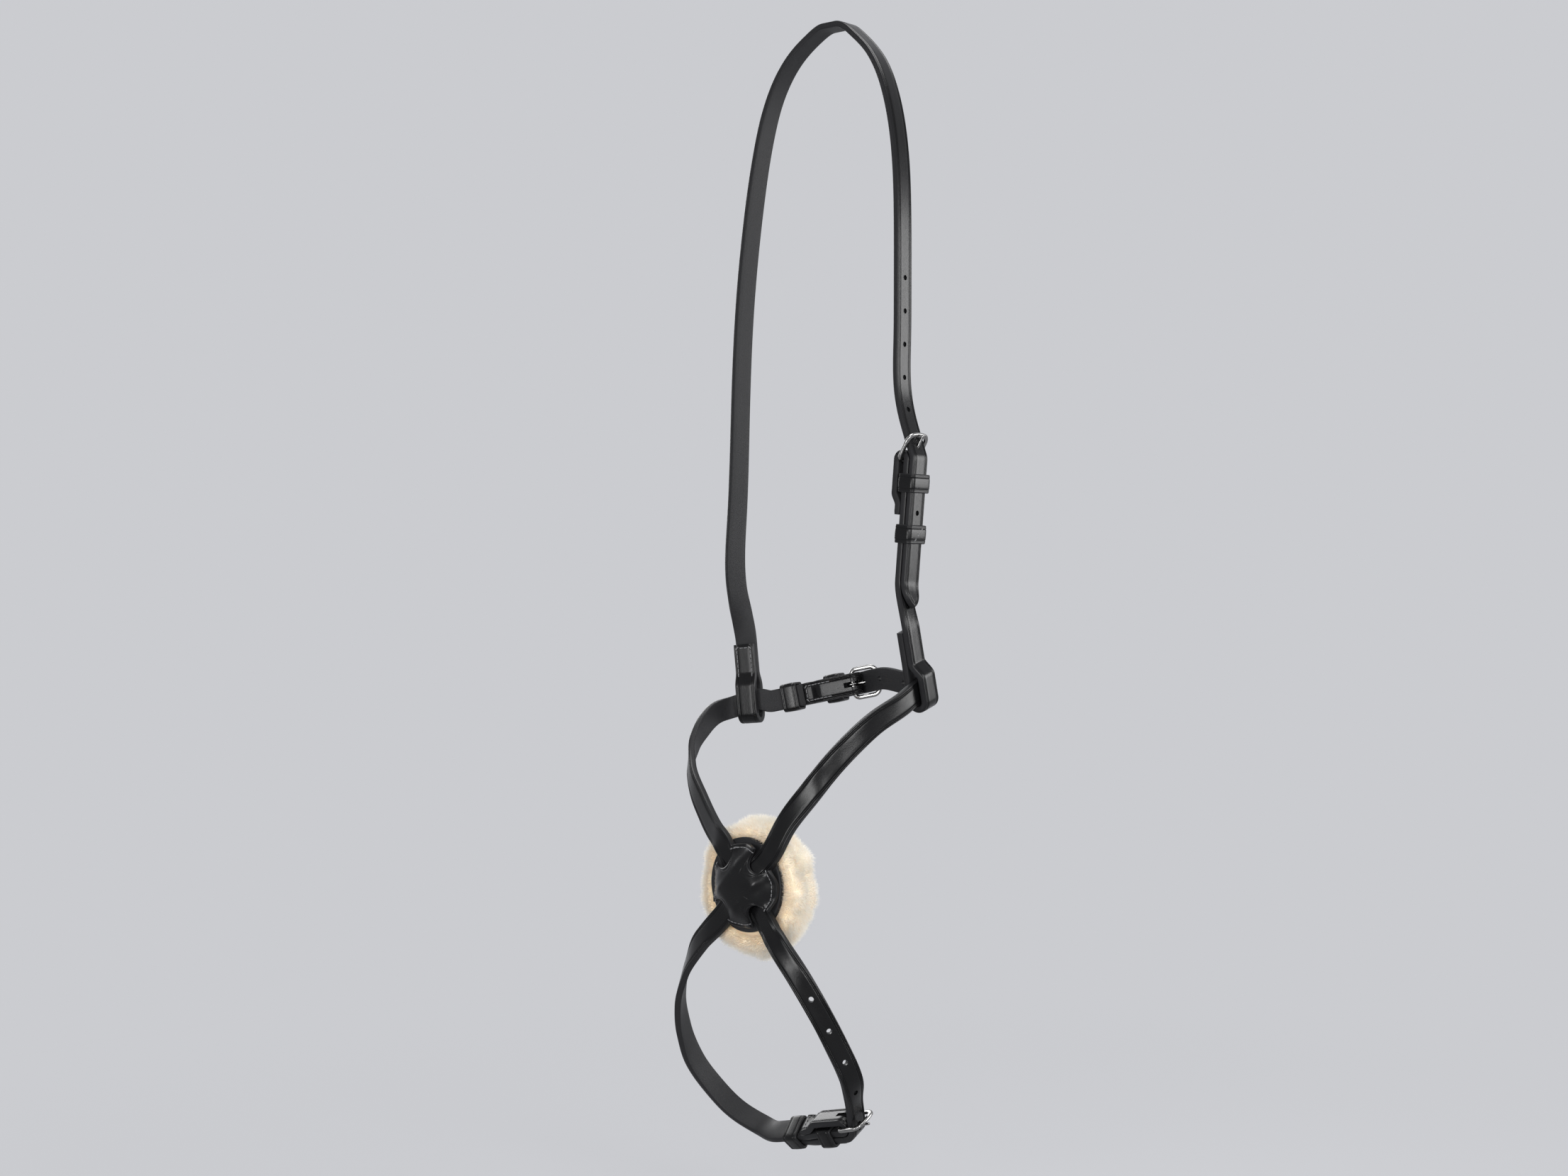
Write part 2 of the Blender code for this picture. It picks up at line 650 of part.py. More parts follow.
def patch_cover(patch):
    """The stitched cover: a turned disc drawn to the lobed outline and draped over the straps."""
    seam_share = 1 - SEAM_INSET / COVER_RADIUS
    ring_shares = (0.0, 0.17, 0.31, 0.43, 0.56, 0.7, 0.82, seam_share, 1.0)
    turns = patch.turns()
    mesh = bmesh.new()
    top = [mesh.verts.new((share, 0.0, 1.0)) for share in ring_shares]
    bottom = [mesh.verts.new((share, 0.0, -1.0)) for share in ring_shares]
    chain = top + bottom[::-1]
    edges = [mesh.edges.new(pair) for pair in zip(chain, chain[1:])]
    bmesh.ops.spin(mesh, geom=chain + edges, axis=(0.0, 0.0, 1.0), cent=(0.0, 0.0, 0.0),
                   angle=2 * math.pi, steps=len(turns), use_merge=True)
    bmesh.ops.remove_doubles(mesh, verts=mesh.verts, dist=GAP)
    for vert in mesh.verts:
        share = math.hypot(vert.co.x, vert.co.y)
        index = round(math.atan2(vert.co.y, vert.co.x) / (2 * math.pi) * len(turns)) % len(turns)
        turn, notch = turns[index]
        radius = share * patch.outline(turn, notch)
        x, z = radius * math.cos(turn), radius * math.sin(turn)
        out = patch.floor + patch.height(x, z) + (COVER_THICK if vert.co.z > 0 else 0.0)
        vert.co = patch.point(x, z, out)
    mesh.normal_update()
    bmesh.ops.recalc_face_normals(mesh, faces=mesh.faces)
    data = bpy.data.meshes.new("patch_cover")
    mesh.to_mesh(data)
    return add_object("patch_cover", data, "bridle_leather", LEATHER)


def patch_seams(patch):
    """One line of thread along the end of each lobe of the cover."""
    inset = COVER_RADIUS - SEAM_INSET
    turns = patch.turns()
    names = ("upper", "off_side", "lower", "near_side")
    for index, name in enumerate(names):
        lobe = [turn for turn, notch in turns[16 * index + 9:16 * index + 16] if notch is None]
        points = []
        for turn in lobe:
            x, z = inset * math.cos(turn), inset * math.sin(turn)
            out = patch.floor + patch.height(x, z) + COVER_THICK + THREAD / 2 + GAP / 2
            points.append(patch.point(x, z, out))
        tube("patch_stitching_" + name, points, THREAD, "linen_thread", THREAD_BLACK, detail=0)


def turned(name, profile, matrix, finish_name, finish, steps):
    """A solid of revolution: an (radius, height) outline from axis to axis under a Screw modifier."""
    mesh = bpy.data.meshes.new(name)
    mesh.from_pydata([(radius, 0.0, height) for radius, height in profile],
                     [(i, i + 1) for i in range(len(profile) - 1)], [])
    item = add_object(name, mesh, finish_name, finish, matrix)
    spin = item.modifiers.new("turn", "SCREW")
    spin.steps = steps
    spin.render_steps = steps
    spin.use_merge_vertices = True
    spin.merge_threshold = GAP / 10
    spin.use_normal_calculate = True
    return item


def patch_layers(patch):
    """Backing disc, sheepskin hide and wool, stacked behind the crossing towards the nose."""
    turn = Matrix.Rotation(-PATCH_TURN, 4, "Z") @ Matrix.Rotation(math.pi / 2, 4, "X")
    facing = Matrix.Translation(patch.middle) @ turn
    aside = Matrix.Translation(-patch.side * BACKING_SET_OVER)
    front = patch.floor
    for name, radius, thick, finish_name, finish in (
            ("patch_backing", BACKING_RADIUS, BACKING_THICK, "bridle_leather", LEATHER),
            ("sheepskin_hide", HIDE_RADIUS, HIDE_THICK, "sheepskin_hide", HIDE)):
        round_off = EDGE_ROUND
        profile = ((0.0, front), (radius - round_off, front), (radius, front - round_off),
                   (radius, front - thick + round_off), (radius - round_off, front - thick),
                   (0.0, front - thick))
        turned(name, profile, aside @ facing, finish_name, finish, 32)
        front -= thick + GAP
    wool_shares = ((0.0, 0.0), (0.70, 0.0), (0.86, 0.10), (0.97, 0.30), (1.0, 0.50), (0.94, 0.74),
                   (0.80, 0.91), (0.58, 0.985), (0.42, 1.0), (0.0, 1.0))
    profile = [(radius * WOOL_RADIUS, patch.wool_front - depth * WOOL_DEPTH) for radius, depth in wool_shares]
    aside = Matrix.Translation(-patch.side * WOOL_SET_OVER - Vector((0.0, 0.0, WOOL_SAG)))
    turned("sheepskin_wool", profile, aside @ facing, "sheepskin_wool", WOOL, 28)


def buckle_set(name, seat):
    """The pieces that one buckle needs besides its two straps."""
    buckle_frame(name + "_buckle_frame", seat)
    buckle_tongue(name + "_buckle_tongue", seat)
    keeper(name + "_fixed_keeper", seat, FIXED_KEEPER_AT)
    keeper(name + "_sliding_keeper", seat, SLIDING_KEEPER_AT)


def chape_cutters(route, seat):
    return [fold_slot(route.nearest(seat.point(seat.fold, 0.0)), seat)]


def billet_cutters(route, seat, before, after):
    """The tongue's hole and the spare holes at the pitch, up the strap from it and towards the tip."""
    middle = route.length - seat.tail - seat.dip * seat.over - seat.tongue_hole()
    places = [middle - seat.first - seat.pitch * step for step in range(before)]
    places += [middle + seat.pitch * step for step in range(1, after + 1)]
    return [leaning_hole(middle, seat)] + [round_hole(place) for place in places]


def between(first, marks, last, start, end):
    """A free run from one fixed path's end to the next one's beginning."""
    whole = [first[-1]] + marks + [last[0]]
    return first[:-1] + free_run(whole, start, end) + last[1:]


# Each buckle with the way its frame points, the way out from the head and the strap that it takes
cheek_seat = Seat(head_place(*CHEEK_BUCKLE_SHARES), Vector((0.09, 0.0, 1.0)), Vector((1.0, 0.0, 0.0)),
                  math.radians(25), 0.0, 0.0, HEAD_THICK, CHEEK_TAIL, CHEEK_KEEPER_TRAVEL,
                  CHEEK_FIRST_HOLE, HEAD_PITCH)
jaw_seat = Seat(nose_place(*JAW_BUCKLE_SHARES), Vector((0.925, 0.30, 0.205)), Vector((-0.3, 0.95, 0.0)),
                math.radians(20), 0.0, 0.0, NOSE_THICK, SHORT_TAIL, SHORT_KEEPER_TRAVEL,
                JAW_FIRST_HOLE, NOSE_PITCH)
chin_seat = Seat(nose_place(*CHIN_BUCKLE_SHARES), Vector((0.96, -0.055, 0.215)),
                 Vector((0.245, 0.408, -0.88)), math.radians(-2), math.radians(13), math.radians(20),
                 NOSE_THICK, SHORT_TAIL, SHORT_KEEPER_TRAVEL, CHIN_FIRST_HOLE, NOSE_PITCH)
patch = Patch()

# Free stretches of the straps: shares of the head for each place, then the way the outer face looks
OFF_SIDE_UPPER_SHARES = (
    ((-0.860, -0.052, 0.009), (-0.33, 0.94, 0.0)),
    ((-0.957, -0.022, 0.0135), (-0.36, 0.93, 0.0)),
    ((-1.080, 0.024, 0.027), (-0.46, 0.88, 0.0)),
    ((-1.122, 0.190, 0.040), (-0.99, 0.10, 0.0)),
    ((-1.100, 0.340, 0.064), (-0.99, -0.13, 0.0)),
    ((-1.057, 0.503, 0.107), (-0.88, -0.47, 0.0)),
    ((-0.945, 0.648, 0.169), (-0.58, -0.81, 0.0)),
    ((-0.684, 0.790, 0.240), (-0.26, -0.97, 0.0)),
    ((-0.387, 0.925, 0.300), (-0.16, -0.99, 0.0)),
)
OFF_SIDE_LOWER_SHARES = (
    ((0.275, 0.958, 0.530), (0.14, -0.99, 0.0)),
    ((0.420, 0.920, 0.590), (0.38, -0.92, 0.0)),
    ((0.540, 0.868, 0.650), (0.58, -0.81, 0.0)),
    ((0.628, 0.800, 0.710), (0.71, -0.70, 0.0)),
    ((0.695, 0.710, 0.778), (0.81, -0.58, 0.0)),
    ((0.735, 0.620, 0.845), (0.90, -0.43, 0.0)),
)
NEAR_SIDE_LOWER_SHARES = (
    ((-0.500, 0.290, 1.022), (-0.16, 0.54, -0.83)),
    ((-0.720, 0.345, 0.992), (-0.44, 0.50, -0.75)),
    ((-0.897, 0.440, 0.936), (-0.78, 0.34, -0.53)),
    ((-0.989, 0.562, 0.870), (-0.95, 0.12, -0.25)),
    ((-1.000, 0.675, 0.792), (-0.97, -0.20, -0.12)),
    ((-0.927, 0.785, 0.712), (-0.90, -0.42, 0.0)),
    ((-0.758, 0.880, 0.630), (-0.84, -0.54, 0.0)),
    ((-0.504, 0.957, 0.548), (-0.44, -0.90, 0.0)),
)
NEAR_SIDE_UPPER_SHARES = (
    ((0.361, 0.955, 0.274), (-0.02, -1.00, 0.0)),
    ((0.550, 0.905, 0.201), (0.26, -0.97, 0.0)),
    ((0.700, 0.822, 0.137), (0.66, -0.75, 0.0)),
    ((0.821, 0.680, 0.078), (0.82, -0.57, 0.0)),
    ((0.900, 0.490, 0.031), (0.92, -0.38, 0.0)),
    ((0.947, 0.285, -0.001), (0.98, -0.18, 0.0)),
    ((0.953, 0.070, -0.033), (1.0, 0.03, 0.0)),
    ((0.896, -0.118, -0.041), (0.85, 0.53, 0.0)),
    ((0.765, -0.193, -0.041), (0.45, 0.89, 0.0)),
    ((0.590, -0.237, -0.039), (0.32, 0.95, 0.0)),
)
CROWN_OFF_SIDE_SHARES = (
    ((-1.018, 0.072, 0.834), (-1.0, 0.30, 0.0)),
    ((-1.020, 0.068, 0.725), (-1.0, 0.20, 0.0)),
    ((-0.998, 0.050, 0.561), (-1.0, 0.15, 0.0)),
    ((-0.945, 0.050, 0.398), (-1.0, 0.12, 0.08)),
    ((-0.849, 0.050, 0.263), (-1.0, 0.10, 0.20)),
    ((-0.745, 0.037, 0.157), (-0.94, 0.05, 0.34)),
    ((-0.599, 0.025, 0.079), (-0.82, 0.0, 0.57)),
    ((-0.399, 0.012, 0.030), (-0.62, 0.0, 0.78)),
    ((-0.200, 0.000, 0.004), (-0.28, 0.0, 0.96)),
)
CROWN_NEAR_SIDE_SHARES = (
    ((0.240, 0.012, 0.012), (0.46, 0.0, 0.89)),
    ((0.473, 0.050, 0.052), (0.78, 0.0, 0.62)),
    ((0.670, 0.100, 0.114), (0.94, 0.0, 0.34)),
    ((0.792, 0.137, 0.195), (0.99, 0.0, 0.14)),
    ((0.845, 0.163, 0.299), (1.0, 0.0, 0.02)),
    ((0.846, 0.163, 0.401), (1.0, 0.0, 0.0)),
    ((0.842, 0.163, 0.477), (1.0, 0.0, -0.03)),
    ((0.850, 0.162, 0.554), (1.0, 0.0, -0.10)),
)

# Which mark of a nose strap each loop hangs on, how far inwards it closes and how upright it hangs
OFF_LOOP_MARK = 1
NEAR_LOOP_MARK = 6
OFF_LOOP_SHARES = (0.0, 0.72)
NEAR_LOOP_SHARES = (0.9, 0.0)


def marks_from(table, place):
    return [(place(*shares), Vector(face)) for shares, face in table]


def nose_routes():
    """The two nose straps, each from its chape over the patch to its billet at the other buckle."""
    off_marks = (marks_from(OFF_SIDE_UPPER_SHARES, nose_place) + patch.strap_marks(patch.lower_way, False)
                 + marks_from(OFF_SIDE_LOWER_SHARES, nose_place))
    near_marks = (marks_from(NEAR_SIDE_LOWER_SHARES, nose_place) + patch.strap_marks(patch.upper_way, True)
                  + marks_from(NEAR_SIDE_UPPER_SHARES, nose_place))
    jaw_chape, chin_chape = jaw_seat.chape(), chin_seat.chape()
    off_side = Route(between(jaw_chape, off_marks, chin_seat.billet(Route(chin_chape)),
                             -jaw_seat.ahead, chin_seat.billet_way()))
    near_side = Route(between(chin_chape, near_marks, jaw_seat.billet(Route(jaw_chape)),
                              -chin_seat.ahead, jaw_seat.billet_way()))
    return off_side, near_side


def head_routes(off_loop, near_loop):
    """The headpiece, from the off side loop over the poll to its billet, and the cheek strap below it."""
    off_hang, near_hang = off_loop.samples(), near_loop.samples()
    cheek = Route(between(cheek_seat.chape(), [], near_hang, -cheek_seat.ahead, -near_loop.up))
    side, up = Vector((CROWN_FLAT / 2, 0.0, 0.0)), Vector((0.0, 0.0, 1.0))
    rest = [(place + up * HEAD_THICK / 2, face) for place, face in straight_run(-side, side, up)]
    lower = between(off_hang[::-1], marks_from(CROWN_OFF_SIDE_SHARES, head_place), rest, off_loop.up, side)
    head = Route(between(lower, marks_from(CROWN_NEAR_SIDE_SHARES, head_place), cheek_seat.billet(cheek),
                         side, cheek_seat.billet_way()))
    return head, cheek, [head.nearest(rest[0][0]), head.nearest(rest[-1][0])]


def hang_on(axis_place, axis_way, names):
    """Parents the pieces that swing with the nose straps to an empty on the line through both loops."""
    pivot = bpy.data.objects.new("nose_swing_axis", None)
    bpy.data.collections["figure_eight_noseband"].objects.link(pivot)
    turn = axis_way.to_track_quat("X", "Z").to_matrix().to_4x4()
    pivot.matrix_world = Matrix.Translation(axis_place) @ turn
    for name in names:
        item = bpy.data.objects[name]
        placed = item.matrix_world.copy()
        item.parent = pivot
        item.matrix_parent_inverse = pivot.matrix_world.inverted()
        item.matrix_world = placed


def build():
    """Every strap, buckle, keeper, thread and patch layer in its place."""
    clear_scene()
    off_side, near_side = nose_routes()
    off_loop = Loop(off_side, off_side.nearest(nose_place(*OFF_SIDE_UPPER_SHARES[OFF_LOOP_MARK][0])),
                    HEAD_THICK, *OFF_LOOP_SHARES)
    near_loop = Loop(near_side, near_side.nearest(nose_place(*NEAR_SIDE_UPPER_SHARES[NEAR_LOOP_MARK][0])),
                     NOSE_THICK, *NEAR_LOOP_SHARES)
    head, cheek, crown_ends = head_routes(off_loop, near_loop)

    add_strap("off_side_nose_strap", off_side, NOSE_THICK, True,
              chape_cutters(off_side, jaw_seat) + billet_cutters(off_side, chin_seat, 4, 1),
              chin_seat.twist_stations(off_side, chin_seat.over))
    add_strap("near_side_nose_strap", near_side, NOSE_THICK, True,
              chape_cutters(near_side, chin_seat) + billet_cutters(near_side, jaw_seat, 2, 1),
              chin_seat.twist_stations(near_side, chin_seat.fold))
    add_strap("headpiece_strap", head, HEAD_THICK, True, billet_cutters(head, cheek_seat, 5, 2), crown_ends)
    add_strap("cheek_strap", cheek, NOSE_THICK, False, chape_cutters(cheek, cheek_seat))
    for name, seat in (("cheek", cheek_seat), ("jaw", jaw_seat), ("chin", chin_seat)):
        buckle_set(name, seat)

    end = TURN_BACK - FIXED_KEEPER_AT
    seam("jaw_chape_stitching", off_side, SEAM_INSET, end, NOSE_THICK)
    seam("chin_chape_stitching", near_side, SEAM_INSET, end, NOSE_THICK)
    seam("cheek_chape_stitching", cheek, SEAM_INSET, end, NOSE_THICK)
    seam("off_side_loop_stitching", head, SEAM_INSET, LOOP_TURN - LOOP_EASE, HEAD_THICK)
    seam("near_side_loop_stitching", cheek, cheek.length - SEAM_INSET,
         cheek.length - LOOP_TURN + LOOP_EASE, NOSE_THICK)

    patch_layers(patch)
    patch_cover(patch)
    patch_seams(patch)
    on_head = ("headpiece", "cheek", "off_side_loop", "near_side_loop")
    swinging = [item.name for item in bpy.data.objects if not item.name.startswith(on_head)]
    hang_on(off_loop.middle, near_loop.middle - off_loop.middle, swinging)
    bpy.context.view_layer.update()
    print("swing axis", off_loop.middle[:], near_loop.middle[:])
    wool_back = patch.point(-WOOL_SET_OVER, -WOOL_SAG, patch.wool_front - WOOL_DEPTH)
    print("wool back", wool_back[:], "facing", (-patch.facing)[:])
    for name, seat in (("cheek", cheek_seat), ("jaw", jaw_seat), ("chin", chin_seat)):
        print(name, "heel", seat.heel[:], "across", seat.across[:], "ahead", seat.ahead[:])


build()
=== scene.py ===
# %% [markdown]
# # A figure eight noseband in strap leather
#
# A figure eight noseband hangs from a strap over the horse's poll. Two narrow straps cross on the
# nose under a round padded patch, and buckle behind the jaw and under the chin. This lesson dresses
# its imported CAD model: every strap, buckle, keeper, stitch and the sheepskin get the shape and the
# finish that a saddler gives them. The CAD model comes in first and stays as it is, as a frame.

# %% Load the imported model
import json
import math

import bmesh
import bpy
import numpy as np
from mathutils import Matrix, Vector, noise


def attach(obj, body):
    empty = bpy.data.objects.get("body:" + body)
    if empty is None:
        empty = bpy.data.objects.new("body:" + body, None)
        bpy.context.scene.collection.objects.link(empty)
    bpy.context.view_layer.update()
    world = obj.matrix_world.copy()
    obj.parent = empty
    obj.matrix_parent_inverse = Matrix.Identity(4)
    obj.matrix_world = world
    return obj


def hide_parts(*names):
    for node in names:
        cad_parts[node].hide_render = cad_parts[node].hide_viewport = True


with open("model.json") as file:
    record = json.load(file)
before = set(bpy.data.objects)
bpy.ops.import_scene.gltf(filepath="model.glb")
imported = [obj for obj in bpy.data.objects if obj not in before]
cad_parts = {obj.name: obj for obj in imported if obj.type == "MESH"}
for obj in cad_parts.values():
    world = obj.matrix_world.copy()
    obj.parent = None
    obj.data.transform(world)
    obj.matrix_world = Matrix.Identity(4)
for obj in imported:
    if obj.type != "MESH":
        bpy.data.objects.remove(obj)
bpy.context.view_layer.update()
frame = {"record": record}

carrier = {node: body for body, nodes in frame["record"]["behaviour"]["bodies"].items() for node in nodes}

# %% [markdown]
# ## The saddler's sizes
#
# A saddler cuts straps to a width and a thickness and punches them at a pitch. The same sizes place
# every piece here, so they are written once, in metres, and everything below is worked out from them.
# They could be read off the imported meshes, but named sizes say what each number is for.

# %% Sizes of the head, the leather and the buckles
HALF_WIDTH, REACH, CROWN_DROP, NOSE_DROP = 0.070, 0.080, 0.391, 0.245
STRAP_WIDTH, NOSE_THICK, HEAD_THICK, GAP = 0.013, 0.0038, 0.0035, 0.0003
CROWN_FLAT, OVERRUN = 0.009, 0.004
NOSE_PITCH, HEAD_PITCH, HOLE, TIP_LENGTH = 0.020, 0.0187, 0.0030, 0.0105
TONGUE_PLAY, TONGUE_SWEEP = 0.0006, 0.0014
WIRE, FRAME_LENGTH, FRAME_CORNER, FRAME_BOW = 0.0026, 0.0142, 0.0030, 0.0014
TONGUE_WIRE, TONGUE_OVERHANG = 0.0019, 0.0016
TURN_BACK, FIXED_KEEPER_AT, SLIDING_KEEPER_AT = 0.031, 0.0130, 0.0415
KEEPER_WIDTH, KEEPER_THICK = 0.0105, 0.0016
LAYER_EASE, TWIST_START, TWIST_END = 0.007, 0.019, 0.036
LOOP_PLAY, LOOP_TURN, LOOP_EASE = 0.0010, 0.028, 0.009
SEAM_INSET = 0.0021

# %% Sizes of the patch
PATCH_TURN = math.radians(2)
COVER_RADIUS, COVER_THICK, COVER_FALL, COVER_DOME = 0.0236, 0.0022, 0.0095, 0.0094
NOTCH_PLAY, NOTCH_REACH = 0.0003, 0.0207
BACKING_RADIUS, BACKING_THICK, BACKING_SET_OVER = 0.0266, 0.0030, 0.0024
HIDE_RADIUS, HIDE_THICK = 0.0284, 0.0020
WOOL_RADIUS, WOOL_DEPTH, WOOL_SET_OVER, WOOL_SAG = 0.0415, 0.0150, 0.0030, 0.0025
CROSS_EASE, CROSS_FALL = 0.0015, 0.0110
STEPS = 24
MM = 0.001

# %% [markdown]
# ## Routes: the line that each strap follows
#
# A strap is cut flat and then bent. So each one is made flat here too, holes and creases and all, and
# a route bends it: the middle line of the strap, with the way its outer face looks at every point.
# A curve object with a bevel could draw the strap straight away, but it can't punch a hole square
# through the leather, and its twist is hard to hold. A route kept as plain numbers does both.

# %% Small sums
def ease(share):
    share = np.clip(share, 0.0, 1.0)
    return share * share * (3 - 2 * share)


def unit(vectors):
    return vectors / np.linalg.norm(vectors, axis=-1, keepdims=True)


def nose_place(across, forward, down):
    return Vector((across * HALF_WIDTH, -forward * REACH, -CROWN_DROP - down * NOSE_DROP))


def head_place(across, forward, down):
    return Vector((across * HALF_WIDTH, -forward * REACH, -down * CROWN_DROP))


# %% A route, measured along its length
class Route:
    """A strap's middle line with the way its outer face looks."""

    def __init__(self, samples):
        kept = [samples[0]]
        for sample in samples[1:]:
            if (sample[0] - kept[-1][0]).length > GAP / 2:
                kept.append(sample)
        self.points = np.array([sample[0][:] for sample in kept])
        self.faces = unit(np.array([sample[1][:] for sample in kept]))
        self.lengths = np.concatenate([[0.0], np.cumsum(np.linalg.norm(np.diff(self.points, axis=0), axis=1))])
        self.length = float(self.lengths[-1])
        last = len(kept) - 1
        chords = [self.points[min(i + 1, last)] - self.points[max(i - 1, 0)] for i in range(last + 1)]
        self.ways = unit(np.array([sample[2][:] if len(sample) > 2 else chord
                                   for sample, chord in zip(kept, chords)]))

    def at(self, lengths):
        """Places, and the ways along, across and out, at lengths from the start."""
        lengths = np.clip(np.atleast_1d(lengths), 0.0, self.length)
        i = np.clip(np.searchsorted(self.lengths, lengths, side="right") - 1, 0, len(self.points) - 2)
        share = ((lengths - self.lengths[i]) / (self.lengths[i + 1] - self.lengths[i]))[:, None]
        place, along, face = (table[i] * (1 - share) + table[i + 1] * share
                              for table in (self.points, self.ways, self.faces))
        along = unit(along)
        across = unit(np.cross(face, along))
        return place, along, across, np.cross(along, across)

    def one(self, length):
        return [Vector(found[0]) for found in self.at(length)]

    def nearest(self, place):
        return float(self.lengths[np.argmin(np.linalg.norm(self.points - np.array(place[:]), axis=1))])


# %% Free stretches of leather
def free_run(marks, start, end):
    """A smooth line through marks, each a place and a face, that leaves and arrives along given ways."""
    places = np.array([place[:] for place, face in marks])
    count = len(places)
    spans = np.linalg.norm(np.diff(places, axis=0), axis=1)
    matrix, values = np.zeros((count, count)), np.zeros((count, 3))
    matrix[0, 0] = matrix[-1, -1] = 1.0
    values[0], values[-1] = start.normalized(), end.normalized()
    for i in range(1, count - 1):
        matrix[i, i - 1:i + 2] = 1 / spans[i - 1], 2 / spans[i - 1] + 2 / spans[i], 1 / spans[i]
        values[i] = (3 * (places[i] - places[i - 1]) / spans[i - 1] ** 2
                     + 3 * (places[i + 1] - places[i]) / spans[i] ** 2)
    slopes = np.linalg.solve(matrix, values)
    samples = []
    for i in range(count - 1):
        faces = marks[i][1].normalized(), marks[i + 1][1].normalized()
        for t in np.arange(STEPS) / STEPS:
            place = (2 * t ** 3 - 3 * t * t + 1) * places[i] + (3 * t * t - 2 * t ** 3) * places[i + 1]
            place = place + spans[i] * ((t ** 3 - 2 * t * t + t) * slopes[i] + (t ** 3 - t * t) * slopes[i + 1])
            samples.append((Vector(place), faces[0].lerp(faces[1], float(ease(t))).normalized()))
    return samples + [(Vector(places[-1]), marks[-1][1].normalized())]


def between(first, marks, last, start, end):
    return first[:-1] + free_run([first[-1]] + marks + [last[0]], start, end) + last[1:]


# %% [markdown]
# ## Buckle seats
#
# At a buckle one strap, the chape, is folded round the heel bar and sewn back on itself. The other,
# the billet, comes in under the front bar, over the heel bar and lies on the chape in two keepers.
# One small class holds a buckle's place and gives the route of both ends, so they can't drift apart.

# %% A buckle's place and the two strap ends in it
class Seat:
    """Heel bar, the way ahead to the front bar and the way out from the head."""

    def __init__(self, heel, ahead, outward, tilt, lean, twist, billet_thick, tail, travel, first, pitch):
        self.heel, self.tilt, self.twist = heel, tilt, twist
        self.ahead = ahead.normalized()
        self.outward = (outward - outward.dot(self.ahead) * self.ahead).normalized()
        self.billet_thick, self.tail, self.first, self.pitch = billet_thick, tail, first, pitch
        self.run = SLIDING_KEEPER_AT + KEEPER_WIDTH / 2 + travel
        self.fold = WIRE / 2 + GAP + NOSE_THICK / 2
        self.over = self.fold + NOSE_THICK / 2 + GAP + billet_thick / 2
        self.under = WIRE / 2 + GAP + billet_thick / 2
        self.crossing = math.asin((self.over + self.under) / FRAME_LENGTH) + lean
        self.dip = self.crossing - tilt
        self.ring = WIRE / 2 + GAP + TONGUE_WIRE / 2
        self.lead = FRAME_LENGTH * math.cos(self.crossing) + WIRE + OVERRUN

    def ways(self, along):
        turn = self.twist * float(ease((-along - TWIST_START) / (TWIST_END - TWIST_START)))
        out = self.outward * math.cos(turn) + self.ahead.cross(self.outward) * math.sin(turn)
        return self.ahead.cross(out), out

    def point(self, along, out):
        return self.heel + self.ahead * along + self.ways(along)[1] * out

    def way(self, along, out):
        return self.ahead * along + self.outward * out

    def matrix(self, along=0.0, out=0.0, tilt=0.0):
        """Local X across, Y ahead and Z out, tipped about X."""
        across, outward = self.ways(along)
        turn = Matrix((across, self.ahead, outward)).transposed().to_4x4()
        return Matrix.Translation(self.point(along, out)) @ turn @ Matrix.Rotation(tilt, 4, "X")

    def chape(self):
        """The turned back end, round the heel bar, then the outer layer."""
        far, near = -self.fold, self.fold - NOSE_THICK - GAP
        zone = FIXED_KEEPER_AT + KEEPER_WIDTH / 2 + GAP
        samples = []
        for along in -TURN_BACK * (1 - np.arange(2 * STEPS) / (2 * STEPS)):
            out = near + (far - near) * float(ease((along + zone + LAYER_EASE) / LAYER_EASE))
            samples.append((self.point(along, out), -self.ways(along)[1]))
        for turn in np.linspace(-math.pi / 2, math.pi / 2, 2 * STEPS + 1):
            way = self.way(math.cos(turn), math.sin(turn))
            samples.append((self.heel + way * self.fold, way))
        for along in self.run * np.arange(1, 3 * STEPS + 1) / (3 * STEPS):
            samples.append((self.point(-along, self.fold), self.ways(-along)[1]))
        return samples

    def billet(self, chape):
        """Under the front bar, over the heel bar and on the chape's route to the tip."""
        face = self.way(math.sin(self.dip), math.cos(self.dip))
        back = self.way(math.cos(self.dip), -math.sin(self.dip))
        samples = [(self.heel + face * self.over + back * self.lead * (1 - step / STEPS), face)
                   for step in range(STEPS)]
        for turn in self.dip * (1 - np.arange(STEPS + 1) / STEPS):
            way = self.way(math.sin(turn), math.cos(turn))
            samples.append((self.heel + way * self.over, way))
        start = chape.nearest(self.point(0.0, self.fold))
        places = [length for length in chape.lengths if start < length < start + self.tail - GAP]
        for length in places + [start + self.tail]:
            place, along, across, out = chape.one(length)
            lifted = GAP * float(ease((length - start - self.run) / (self.tail - self.run)))
            samples.append((place + out * (self.over - self.fold + lifted), out, along))
        return samples

    def billet_way(self):
        return -self.way(math.cos(self.dip), -math.sin(self.dip))

    def tongue_hole(self):
        """How far before the bend over the heel bar the tongue goes through the billet."""
        rise = (self.over - self.ring * math.cos(self.crossing)) / math.sin(self.crossing)
        return rise * math.cos(self.crossing) - self.ring * math.sin(self.crossing)


